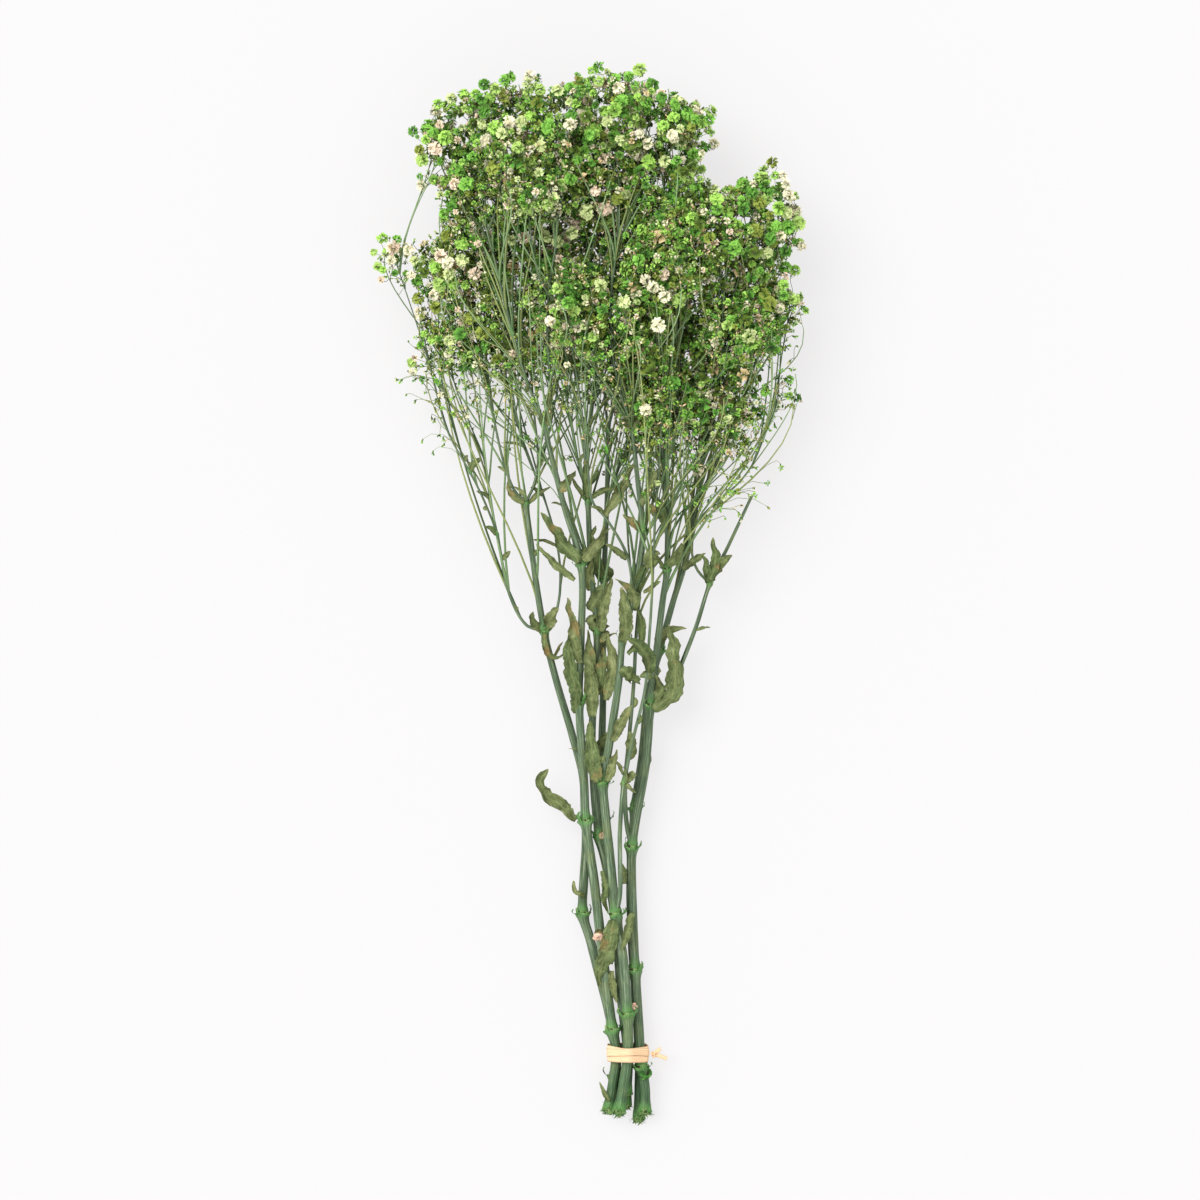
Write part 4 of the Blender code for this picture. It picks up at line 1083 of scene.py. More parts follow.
def build_stubs(material):
    """Short rough stumps with bare pith."""
    surface = Surface()
    for number, (centre, direction, radius, length, pale, hollow) in enumerate(STUBS):
        along = unit(np.array(direction))
        side = unit(np.cross(along, (1.0, 0.0, 0.0)))
        up = np.cross(along, side)
        angles, (circle,) = circles(side[None], up[None], STUB_AROUND)
        rings, tints = [], []
        for row, (out, share) in enumerate(STUB_RINGS):
            rough = STUB_ROUGH * waves_round(angles, number + 0.7 * row, 2)
            reach = (radius * share * (1 + rough))[:, None]
            ring = np.array(centre) + along * out * length + circle * reach
            if row > 2:
                ring = ring + (0.5 * waves_round(angles, number + row, 3))[:, None] * along
                ring = ring - hollow * max(0, row - 4) * 0.9 * along
            rings.append(ring)
            inner = min(1.0, max(0.0, (row - 1.5) / 2))
            tints += [(inner * pale, hollow, hollow * max(0.0, (row - 3.5) / 2))] * STUB_AROUND
        surface.add(np.array(rings), grid_faces(len(rings), STUB_AROUND, closed=True),
                    grid_places(np.arange(STUB_AROUND + 1) * 0.9, np.arange(len(rings)) * 1.2),
                    tints)
        surface.cap(len(rings), STUB_AROUND, np.zeros(len(rings)))
    surface.piece("cut_stubs", material, "stem", "Along")


# ---------------------------------------------------------------- leaves

LEAF_ALONG = 30
LEAF_ACROSS = 7
SMALL_ALONG = 13
SMALL_ACROSS = 3
LEAF_THICK = 0.22
LEAF_WIDER = 1.28           # a blade laid flat, as a share of its width as it lies folded
LEAF_RIPPLE = 0.40          # waves along the edges, as a share of the half width
LEAF_CRUMPLE = 2.0          # dents in the dried blade
LEAF_RAGGED = 0.30          # how far its edges are torn in
LEAF_WAVES = (1.4, 2.8)     # how many waves its edges have
LEAF_TWIST = 1.1            # radians that its tip turns to either side
LEAF_ROLL = (-0.15, 0.95)   # how far each half rolls up
ROLL_BY = 2.2               # radians of an edge that is rolled up whole


def leaf_outline(t):
    """Half width along a leaf, as a share of the widest: a narrow foot and a pointed tip."""
    return 0.12 + 0.88 * math.sin(math.pi * min(1.0, 0.06 + 0.94 * t) ** 0.8) ** 0.75


def top_of(tree, x, y, fallback):
    """The height of a solid's top over a table place, in millimetres."""
    start = (Vector((x, y, 0)) + SHIFT) * MM
    start.z = 1.0
    place, _, _, _ = tree.ray_cast(start, Vector((0, 0, -1)))
    return place.z / MM if place else fallback


def tree_of(node):
    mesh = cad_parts[node].data
    return BVHTree.FromPolygons([vert.co for vert in mesh.vertices],
                                [face.vertices for face in mesh.polygons])


def close_blade(top, ups, across):
    """The points and faces of a thin blade whose upper side is this grid of points."""
    rows, columns = len(ups), len(across)
    thin = np.tile(1 - 0.7 * np.abs(across) ** 4, rows)[:, None]
    under = top - np.repeat(ups, columns, axis=0) * LEAF_THICK * thin
    faces = grid_faces(rows, columns)
    low = rows * columns
    edge = np.array(list(range(columns))
                    + [k * columns + columns - 1 for k in range(1, rows)]
                    + [(rows - 1) * columns + k for k in range(columns - 2, -1, -1)]
                    + [k * columns for k in range(rows - 2, 0, -1)])
    ahead = np.roll(edge, -1)
    rim = np.stack([ahead, edge, edge + low, ahead + low], axis=1)
    return np.concatenate([top, under]), np.concatenate([faces, faces[:, ::-1] + low, rim])


def add_blade(surface, middle, width, seed, across_count):
    """A dried blade along a line of points: rolled, rippled, dented and torn at its edges."""
    rng = random.Random(seed)
    marks = marks_along(middle)
    along, _, _ = sides_along(middle)
    sides = units(np.cross(along, (0.0, 0.0, 1.0)))
    ups = np.cross(sides, along)
    across = np.linspace(-1, 1, across_count * 2 + 1)
    waves = rng.uniform(*LEAF_WAVES)
    phase = rng.uniform(0, TURN)
    twist = rng.uniform(-LEAF_TWIST, LEAF_TWIST)
    rolls = (rng.uniform(*LEAF_ROLL), rng.uniform(*LEAF_ROLL))
    top, tints = [], []
    for k, mark in enumerate(marks):
        t = k / (len(marks) - 1)
        half = width / 2 * LEAF_WIDER * leaf_outline(t)
        turn = twist * t * t
        sway = 0.18 * width * noise.noise(Vector((mark * 0.16, seed, 1.0)))
        for s in across:
            edge = abs(s) ** 1.5
            hand = 1.0 if s > 0 else -1.0
            tear = noise.noise(Vector((mark * 0.55, hand * 3.1 + seed, 3.0)))
            bite = max(0.0, noise.noise(Vector((mark * 1.3, hand * 5.7, seed))))
            ragged = 1 + LEAF_RAGGED * (0.7 * tear - bite) * edge
            ripple = LEAF_RIPPLE * half * edge * math.sin(waves * math.pi * 2 * t + phase + s)
            dent = 1 - 2 * abs(noise.noise(Vector((mark * 0.26, s * half * 0.42, seed))))
            fine = noise.noise(Vector((mark * 0.8, s * half * 0.9, seed + 9)))
            slow = noise.noise(Vector((mark * 0.12, hand, seed)))
            angle = rolls[0 if s > 0 else 1] * (0.6 + 0.8 * slow) * ROLL_BY * edge
            size = half * abs(s) * ragged
            flat = hand * size * math.cos(angle * 0.7)
            crumple = min(LEAF_CRUMPLE, 0.32 * half) * (dent - 0.6) * (0.3 + 0.7 * edge)
            rise = size * math.sin(angle * 0.7) + ripple + crumple + 0.25 * fine
            out = flat + sway
            top.append(middle[k] + sides[k] * (out * math.cos(turn) - rise * math.sin(turn))
                       + ups[k] * (out * math.sin(turn) + rise * math.cos(turn)))
            dry = max(0.75 * t ** 6, 0.60 * edge * (0.35 + 0.65 * t))
            tints.append((dry, math.exp(-(s * half / 0.4) ** 2), seed % 1.0))
    points, faces = close_blade(np.array(top), ups, across)
    grid_u, grid_v = np.meshgrid(across * width / 2, marks)
    flat = np.tile(np.stack([grid_u.ravel(), grid_v.ravel()], axis=1), (2, 1))
    surface.add(lifted(points), faces, flat[faces.ravel()], np.array(tints * 2))


def build_leaf(name, width, points, material, seed, replaced=()):
    """One named leaf; one that stands for a solid lies at the height of its top."""
    course = Course([(*p, width / 2) for p in points])
    middle, _ = course.at(np.linspace(0, course.length, LEAF_ALONG))
    if replaced:
        tree = tree_of(replaced[0])
        heights = [top_of(tree, x, y, z) for x, y, z in middle]
        kernel = np.array([1, 2, 3, 2, 1]) / 9
        middle[:, 2] = np.convolve(np.pad(heights, 2, "edge"), kernel, "valid")
    surface = Surface()
    add_blade(surface, middle, width, seed, LEAF_ACROSS)
    surface.piece(name, material, "leaf", "Along", replaced)


TUFT_FROM, TUFT_TO = -115.0, 130.0      # where along Y the joints carry small leaves
TUFT_STEP = 30.0            # spacing of the small leaves between joints
TUFT_LENGTH = (4.0, 18.0)
TUFT_WIDTH = (1.4, 4.6)
TUFT_SKIP = 0.45            # share of those places that have lost their leaf
LARGE_FROM, LARGE_TO = -98.0, 18.0      # where along Y some of them are large
LARGE_SHARE = 0.5
LARGE_LENGTH = (15.0, 30.0)
LARGE_WIDTH = (4.5, 7.5)


def build_small_leaves(name, stem, material):
    """Short withered leaves at the joints of a stem and where its branches leave."""
    rng = random.Random("small leaves " + name)
    surface = Surface()
    for route in routes_of(stem):
        course = Course(route)
        between = np.arange(TUFT_STEP * 0.7, course.length, TUFT_STEP)
        marks = course.joints * 2 + [0.5] + list(between)
        for mark in marks:
            (place,), (radius,) = course.at(mark)
            if not TUFT_FROM < place[1] < TUFT_TO or rng.random() < TUFT_SKIP:
                continue
            (ahead,), _ = course.at(min(mark + 2, course.length))
            (behind,), _ = course.at(max(mark - 2, 0))
            along = unit(ahead - behind)
            level = unit(np.cross(along, (0.0, 0.0, 1.0))) * rng.choice((-1, 1))
            length = rng.uniform(*TUFT_LENGTH) * (0.6 + 0.4 * min(1.0, radius / 2.4))
            width = rng.uniform(*TUFT_WIDTH) * (0.5 + 0.5 * length / TUFT_LENGTH[1])
            lean = rng.uniform(0.25, 1.0)
            if LARGE_FROM < place[1] < LARGE_TO and rng.random() < LARGE_SHARE:
                length, width = rng.uniform(*LARGE_LENGTH), rng.uniform(*LARGE_WIDTH)
                lean *= 0.4
            heading = unit(along + level * lean + np.array([0, 0, rng.uniform(0.0, 0.5)]))
            droop = (level * rng.uniform(-1.3, 1.0) + along * rng.uniform(-0.9, 0.1)
                     + np.array([0, 0, rng.uniform(-0.5, 0.4)]))
            t = np.linspace(0, 1, SMALL_ALONG)[:, None]
            line = (place + (level * 0.7 + np.array([0, 0, 0.5])) * radius * slimness(place[1])
                    + heading * length * t + droop * length * 0.6 * t * t)
            line[:, 2] = np.maximum(line[:, 2], 1.0)
            add_blade(surface, line, width, rng.uniform(1, 90), SMALL_ACROSS)
    surface.piece(name.replace("stem", "small_leaves"), material, "leaf", "Along")


def build_leaves(material):
    for seed, (name, (width, points)) in enumerate(LEAVES.items()):
        build_leaf("dressed_" + name, width, points, material, 11.3 + 1.37 * seed, (name,))
    for seed, (name, (width, points)) in enumerate(SMALL_LEAVES.items()):
        build_leaf(name, width, points, material, 57.1 + 1.71 * seed)
    for name, stem in STEMS.items():
        build_small_leaves(name, stem, material)


# ---------------------------------------------------------------- flowers

class Form:
    """A small model of one flower or bud: points, quads, and each corner's place on the palette.

    The stalk joins at the origin and the flower opens along +Z.  A corner's place is its depth
    from heart to rim and whether it belongs to the petals (0) or the calyx (1).
    """

    def __init__(self, reach):
        self.reach = reach      # from the origin to the middle of the flower
        self.points, self.faces, self.places = [], [], []
        self.count = 0

    def add_grid(self, points, rows, columns, across, depths, part, closed=False):
        self.points.append(np.asarray(points, float).reshape(-1, 3))
        self.faces.append(grid_faces(rows, columns, closed) + self.count)
        places = grid_places(across, depths)
        self.places.append(np.column_stack([places, np.full(len(places), part)]))
        self.count += rows * columns

    def done(self):
        self.points = np.concatenate(self.points)
        self.faces = np.concatenate(self.faces)
        self.places = np.concatenate(self.places)
        return self


def add_cup(form, rings, sides, depths, teeth=0.0):
    """A calyx or bud: rings of (height, radius), the last one cut into teeth."""
    angles = np.arange(sides) * 2 * math.pi / sides
    rows = []
    for i, (height, radius) in enumerate(rings):
        lift = teeth * (np.arange(sides) % 2) if i == len(rings) - 1 else 0 * angles
        rows.append(np.stack([radius * np.cos(angles), radius * np.sin(angles), height + lift],
                             axis=1))
    form.add_grid(np.concatenate(rows), len(rings), sides, np.linspace(0.2, 0.8, sides + 1),
                  depths, 1, closed=True)


def add_petal(form, rng, heart, radius, turn, tilt, width, rows, columns):
    """One petal from inside a ball round heart out past its skin; the outer ones bend back.

    tilt is its angle from the flower's axis and turn its angle round it.
    """
    side = np.array([-math.sin(turn), math.cos(turn), 0.0])
    recurve = math.radians(rng.uniform(*PETAL_BEND)) * (BEND_FROM + BEND_BY * min(1.0, tilt))
    low = rng.uniform(0.04 if tilt > 0.4 else 0.3, 0.88)
    points = []
    for t in rows:
        lean = tilt + recurve * t ** 2
        away = np.array([math.sin(lean) * math.cos(turn), math.sin(lean) * math.sin(turn),
                         math.cos(lean)])
        down = np.cross(side, away)
        spread = PETAL_START + (1 - PETAL_START) * t
        half = width * radius * (0.35 + 0.65 * t ** 0.8)
        for s in columns:
            uneven = rng.uniform(-PETAL_UNEVEN, PETAL_UNEVEN) * t
            reach = radius * (spread - PETAL_NOTCH * t * (s == 0) + uneven)
            ruffle = rng.uniform(-PETAL_RUFFLE, PETAL_RUFFLE) * radius * t
            points.append(heart + away * reach + side * half * s + down * ruffle)
    places = np.linspace(low, low + 0.08, len(columns))
    # The inmost petals start nearer the rim colour, so the painted shade of the heart shows less
    # there.
    start = PETAL_START + 0.4 * max(0.0, 1 - tilt)
    form.add_grid(points, len(rows), len(columns), places,
                  [0.05 + 0.95 * (start + (1 - start) * t) ** 1.3 for t in rows], 0)


def double_flower(seed, radius, whorls, rows, columns, flatten=1.0, sides=6):
    """A ball of petals in whorls of (count, tilt in degrees, width) on a short calyx."""
    rng = random.Random(seed)
    form = Form(CALYX_LENGTH * min(1.0, radius / SMALL_RADIUS) + radius * 0.6)
    heart = np.array([0.0, 0.0, form.reach])
    for count, tilt, width in whorls:
        offset = rng.uniform(0, TURN)
        for k in range(count):
            turn = offset + 2 * math.pi * (k + rng.uniform(-0.3, 0.3)) / count
            lean = math.radians(tilt + rng.uniform(-WHORL_TILT, WHORL_TILT))
            add_petal(form, rng, heart, radius * rng.uniform(0.80, 1.08), turn, lean,
                      width * rng.uniform(0.8, 1.2), rows, columns)
    wide = radius * 0.30
    add_cup(form, ((0.0, 0.24), (form.reach * 0.3, wide * 0.8), (form.reach * 0.62, wide)), sides,
            (0.0, 0.5, 1.0), 0.4)
    form.done()
    form.points[:, 2] = form.reach + (form.points[:, 2] - form.reach) * flatten
    return form


def half_open(seed):
    """A dried floret: a narrow calyx with a few pale petal tips."""
    rng = random.Random(seed)
    form = Form(1.7)
    add_cup(form, ((0.0, 0.22), (1.0, 0.68), (1.9, 0.6)), 3, (0.0, 0.6, 1.0), 0.3)
    open_by = rng.uniform(0.7, 1.4)
    for k in range(3):
        turn = 2 * math.pi * (k + rng.uniform(-0.25, 0.25)) / 3
        out = np.array([math.cos(turn), math.sin(turn), 0.0])
        side = np.array([-math.sin(turn), math.cos(turn), 0.0])
        tip = FLORET_LENGTH * rng.uniform(0.85, 1.1)
        points = []
        for t, half in ((0.0, 0.3), (1.0, 0.7)):
            centre = out * (0.35 + open_by * t) + np.array([0, 0, 1.4 + (tip - 1.4) * t])
            points += [centre - side * half, centre + side * half]
        low = rng.uniform(0.3, 0.88)
        form.add_grid(points, 2, 2, (low, low + 0.08), (0.45, 1.0), 0)
    return form.done()


def bud(seed):
    """A closed bud on its short neck."""
    rng = random.Random(seed)
    form = Form(BUD_LENGTH / 2)
    width = rng.uniform(0.62, 0.85)
    add_cup(form, ((0.0, 0.2), (1.1, width), (BUD_LENGTH, 0.12)), 4, (0.2, 0.8, 1.0))
    return form.done()


def make_forms():
    """A few models of each kind of blossom."""
    full = ((5, 8, 0.36), (8, 28, 0.26), (10, 56, 0.27), (10, 86, 0.28))
    cupped = ((4, 8, 0.40), (7, 32, 0.29), (9, 62, 0.29), (9, 94, 0.30))
    small = ((4, 12, 0.38), (6, 44, 0.38), (6, 78, 0.40))
    tuft = ((3, 18, 0.46), (5, 62, 0.50))
    husk = ((3, 20, 0.55), (5, 75, 0.62))
    rows, columns = (0.0, 0.62, 1.0), (-1, 0, 1)
    return {
        "full": [double_flower(1, FLOWER_RADIUS, full, rows, columns),
                 double_flower(2, FLOWER_RADIUS * 1.06, full, rows, columns, 0.9),
                 double_flower(3, FLOWER_RADIUS * 0.94, cupped, rows, columns),
                 double_flower(4, FLOWER_RADIUS, cupped, rows, columns, 0.84)],
        "small": [double_flower(11 + k, SMALL_RADIUS * size, small, (0.0, 1.0), columns, 0.9, 5)
                  for k, size in enumerate((1.05, 0.95, 0.85))],
        "tuft": [double_flower(21 + k, TUFT_RADIUS * size, tuft, (0.0, 1.0), (-1, 1), 1.0, 3)
                 for k, size in enumerate((1.1, 1.0, 0.9, 0.8))],
        "husk": [double_flower(51 + k, HUSK_RADIUS, husk, (0.0, 1.0), (-1, 1), 1.0, 3)
                 for k in range(3)],
        "floret": [half_open(31), half_open(32), half_open(33)],
        "bud": [bud(41), bud(42)],
    }


def turned_to(axes, spins):
    """Rotation matrices that take +Z to each axis, each turned by its own spin about it."""
    axes = units(axes)
    other = np.where(np.abs(axes[:, 2:]) < 0.9, (0.0, 0.0, 1.0), (1.0, 0.0, 0.0))
    side = units(np.cross(other, axes))
    up = np.cross(axes, side)
    c, s = np.cos(spins)[:, None], np.sin(spins)[:, None]
    return np.stack([side * c + up * s, up * c - side * s, axes], axis=2)


TONE_NAMES = list(TONES)


def add_blossoms(surface, form, blossoms):
    """Copies of one form, each in its place with its own size, turn and tones."""
    axes, spins, sizes, bases, shades = (
        np.array([getattr(blossom, name) for blossom in blossoms])
        for name in ("axis", "spin", "size", "base", "shade"))
    turns = turned_to(axes, spins) * sizes[:, None, None]
    points = np.einsum("nij,vj->nvi", turns, form.points) + bases[:, None, :]
    count = len(form.points)
    faces = form.faces[None] + (np.arange(len(blossoms)) * count)[:, None, None]
    petal, calyx = (
        np.array([TONE_NAMES.index(getattr(blossom, name)) for blossom in blossoms])[:, None]
        for name in ("tone", "calyx"))
    column = np.where(form.places[None, :, 2] > 0, calyx, petal)
    # The blossom's shade moves its petals across the column: its own lightness and painted shade.
    across = np.clip(form.places[None, :, 0] + shades[:, None], 0.03, 0.97)
    u = (column + across) / len(TONES)
    v = np.broadcast_to(0.02 + 0.96 * form.places[None, :, 1], u.shape)
    surface.add(lifted(points), faces.reshape(-1, 4), np.stack([u, v], axis=2))


# ---------------------------------------------------------------- sprays

# The largest flowers, which stand out from the rest: their tone, then (x, y, size) of each.
STANDING_OUT = {
    "deep": (
        (-61, 278, 1.0), (47, 240, 1.1), (101, 226, 0.6), (91, 226, 0.95), (88, 206, 0.9),
        (101, 200, 1.15), (115, 199, 0.5), (-110, 182, 0.6), (-64, 199, 1.2),
    ),
    "bright": (
        (-91, 264, 1.05), (-88, 260, 0.95), (-68, 277, 0.95), (-48, 289, 1.0), (-11, 285, 0.9),
        (-7, 294, 0.6), (5, 297, 1.0), (-23, 262, 1.25), (-96, 237, 0.6), (-97, 258, 0.4),
        (-69, 231, 1.2), (-82, 215, 0.9), (-11, 233, 1.15), (22, 292, 0.9), (25, 286, 0.8),
        (18, 277, 1.1), (32, 276, 1.1), (48, 275, 0.95), (55, 270, 1.1), (59, 267, 0.9),
        (67, 267, 1.0), (58, 248, 1.15), (55, 241, 0.9), (59, 229, 1.15), (86, 221, 1.1),
        (111, 207, 1.25), (104, 207, 1.0), (110, 186, 1.2), (81, 194, 1.2), (71, 216, 1.0),
        (97, 167, 1.1), (109, 169, 0.9), (70, 174, 1.1), (-109, 201, 0.9), (-97, 178, 0.7),
        (-96, 142, 0.7), (-12, 163, 1.1), (54, 101, 1.1),
    ),
    "fresh": (
        (-85, 276, 1.0), (-64, 282, 0.9), (-4, 290, 0.95), (1, 295, 0.7), (-53, 262, 1.2),
        (-81, 257, 1.25), (-88, 235, 0.95), (-92, 256, 0.8), (2, 261, 1.2), (14, 272, 1.25),
        (27, 279, 0.7), (47, 268, 0.9), (68, 260, 0.7), (41, 263, 0.9), (63, 241, 0.75),
        (33, 243, 1.2), (104, 236, 0.8), (106, 217, 1.25), (71, 222, 1.15), (116, 184, 0.95),
        (109, 175, 0.9), (53, 159, 1.2), (-117, 202, 0.95), (-115, 195, 0.6), (-117, 184, 0.7),
        (-87, 185, 1.0), (-72, 198, 1.2), (-89, 145, 0.9), (-94, 148, 0.55), (122, 161, 0.6),
    ),
    "lime": (
        (-70, 282, 1.1), (-53, 284, 0.95), (-35, 282, 1.0), (-28, 284, 1.05), (5, 288, 0.9),
        (-94, 245, 1.1), (-40, 250, 1.05), (28, 297, 1.2), (68, 273, 1.15), (55, 235, 1.2),
        (98, 234, 1.2), (115, 225, 0.95), (117, 209, 1.2), (115, 167, 0.9), (50, 165, 1.25),
        (-122, 194, 0.7), (-120, 186, 0.8), (-85, 176, 1.15), (-101, 132, 0.9),
    ),
    "pale_lime": (
        (-35, 288, 1.0), (-18, 283, 1.0), (-38, 265, 1.1), (-2, 216, 1.25), (-10, 204, 1.1),
        (-25, 202, 1.15), (-44, 200, 0.9), (-18, 199, 1.0), (42, 244, 1.1), (20, 226, 1.0),
        (110, 215, 1.15), (70, 228, 0.9), (99, 193, 1.1), (-99, 189, 0.8), (-79, 181, 1.1),
        (-72, 189, 1.1), (-79, 144, 1.1), (6, 173, 1.2), (19, 164, 1.15), (89, 145, 1.2),
    ),
    "cream": (
        (-45, 265, 1.1), (-11, 263, 1.15), (-95, 232, 1.0), (-58, 255, 1.1), (16, 284, 1.1),
        (70, 255, 1.0), (46, 258, 0.9), (28, 259, 0.9), (108, 236, 0.9), (110, 231, 0.9),
        (119, 197, 0.9), (107, 202, 1.0), (78, 174, 1.0), (107, 162, 0.9), (-102, 195, 1.0),
        (-112, 189, 0.95), (-101, 181, 0.7), (-96, 160, 1.1), (-80, 187, 1.0), (-88, 170, 1.0),
        (-80, 137, 0.8), (-100, 127, 0.8), (-22, 153, 0.9), (42, 167, 1.15), (38, 151, 1.2),
        (31, 104, 1.0), (61, 70, 0.9), (-9, 264, 0.7),
    ),
    "pink_cream": (
        (-87, 251, 1.1), (-76, 231, 0.9), (8, 217, 1.1), (-37, 201, 1.1), (-7, 209, 1.0),
        (31, 286, 0.9), (3, 227, 0.9), (-111, 196, 1.15), (-118, 179, 0.7), (-84, 191, 1.15),
        (-72, 155, 1.0), (-44, 136, 0.8), (110, 180, 0.6), (40, 282, 0.7),
    ),
    "olive": (
        (-96, 251, 0.8), (-54, 239, 1.3), (57, 262, 0.8), (95, 220, 1.1), (81, 227, 0.9),
        (101, 213, 0.8), (93, 205, 1.15), (-97, 168, 1.1), (-87, 163, 1.1), (-67, 157, 1.3),
        (-60, 148, 1.25),
    ),
}

KINDS = (
    # kind, radius, how deep it lies at least in a showy cloud and in another, and at most
    ("full", FLOWER_RADIUS, -1.5, 1.2, 10.0), ("small", SMALL_RADIUS, 1.0, 0.8, 16.0),
    ("husk", HUSK_RADIUS, 5.5, 4.5, math.inf), ("tuft", TUFT_RADIUS, 3.5, 0.5, math.inf),
    ("floret", FLORET_RADIUS, 4.0, -1.5, math.inf), ("bud", BUD_RADIUS, 1.5, -2.5, math.inf),
)
SPACING = 0.80              # how near blossoms come, as a share of their two radii
OUTWARD = 1.6               # how firmly blossoms turn away from the middle of their cloud
UPWARD = (0.0, 0.32, 0.42)  # and how they all lean towards the light
STRAY = 0.28                # and stray from that
BLOSSOM_SIZE = (0.84, 1.14)
BLOSSOM_SHADE = (-0.12, 0.14)
LARGE_SHADE = 0.1           # the largest flowers are this much lighter
LARGE_OUT = (-1.5, 1.0)     # how far they stand out from the skin of their cloud
# Painted shade: blossoms deep in the bunch are painted darker, for the shade that they lie in.
DEPTH_SHADE = 0.36                  # how much duller blossoms deep in the bunch are
DEPTH_SHADE_FROM, DEPTH_SHADE_OVER = 4.0, 24.0
BRIDGE = 5.5                # blossoms also fill the room between clouds that are this near
CLEAR_ABOVE = 47.0          # the branches higher than this are seen from above
CLEAR_TO = 0.60             # along this share of their length
CLEAR = 0.9                 # room beside them without blossoms over them
CLEAR_HIGH = 26.0
THIN = (
    # places with hardly a blossom, seen from above: x, y, half width, half length
    (-97, 214, 13, 13), (76, 243, 13, 13), (-108, 158, 12, 14), (104, 219, 5, 6),
    (86, 212, 5, 4), (58, 293, 20, 14), (34, 262, 5, 6), (46, 250, 5, 4), (9, 276, 5, 4),
    (-14, 272, 6, 3), (-72, 268, 5, 5), (-84, 240, 5, 4), (-56, 222, 6, 3), (40, 233, 5, 5),
    (113, 176, 5, 5),
)
FRINGE = 16.0               # mean reach of the loose florets below a low cloud
FRINGE_MOST = 52.0
LOOSE = 0.50                # share of the florets of a low cloud that are loose
LOOSE_KINDS = ("tuft", "floret", "bud")
LOW_CLOUDS = ("low_left", "left", "left_inner", "lower_left", "lower_middle", "low_centre",
              "low_centre_right", "low_right_centre", "low_right", "front_low", "front_centre",
              "front_left_centre", "right_middle", "right_sprig", "right")
TRIES = 60

SHOOTS = {"showy": 8, "mixed": 11, "fine": 14, "sparse": 4}      # side shoots into a cloud
LONG_SHOOTS = 34            # shoots from low on the trunks into the low clouds
LONG_FROM = (-75.0, 12.0)   # where along Y they leave
LONG_LENGTH = (95.0, 200.0)
LONG_LIKED = (110, 150)
LONG_RADIUS = 1.0
TOP_SHOOTS = 48             # shoots that lie on the upper side of the low clouds
TOP_RADIUS = 0.42
TOP_LENGTH = (30.0, 110.0)
TOP_LIKED = 60
TOP_OUT = (0.0, 2.5)        # how far over the skin their tips lie
HIGH_UP = 30.0              # how high the places are where they leave
SHOOT_STEP = 16.0           # spacing of the places where shoots leave
SHOOT_POINTS = 11
SHOOT_FROM = -75.0          # how far down the stems they start
SHOOT_LENGTH = (32.0, 150.0)
SHOOT_LIKED = 80.0          # the length that most of them have
SHOOT_RADIUS = (0.66, 0.28)
SHOOT_STRAIGHT = 0.80       # least cosine between a shoot and the branch it leaves
SHOOT_IN = 1.5              # how deep in a cloud its tip lies at least
STRAIGHT_WORTH = 60         # how much length a straight start makes up for
CHOICE = 7                  # a shoot leaves from one of this many best places

ROOT_STEP = 9.0             # spacing of the places where twigs leave
ROOT_START = 16.0           # how far along a branch or shoot the first one is
ROOT_TURN = 1.7             # how much longer a straight twig may be than one that turns back
TWIG_RADIUS = 0.19          # of a stalk with one blossom
TWIG_GROWTH = 0.32          # power of the number of blossoms that a twig carries
BRACT = 2.0                 # length of the dry bracts at a fork
BRACT_SHARE = 0.5
BOW_OUT, BOW_IN = 0.33, 0.30    # how firmly a twig keeps its first and last direction
# How far towards its blossoms a twig forks, by how many it carries.
FORK_AT = ((2, 0.62), (7, 0.46), (math.inf, 0.36))
FORK_LEAST = 0.8
SWERVE = 0.45               # how much it keeps to its heading on the way to the fork


class Blossom:
    """One flower, floret or bud: what it is, where it sits and how it is turned."""

    def __init__(self, middle):
        self.middle = middle


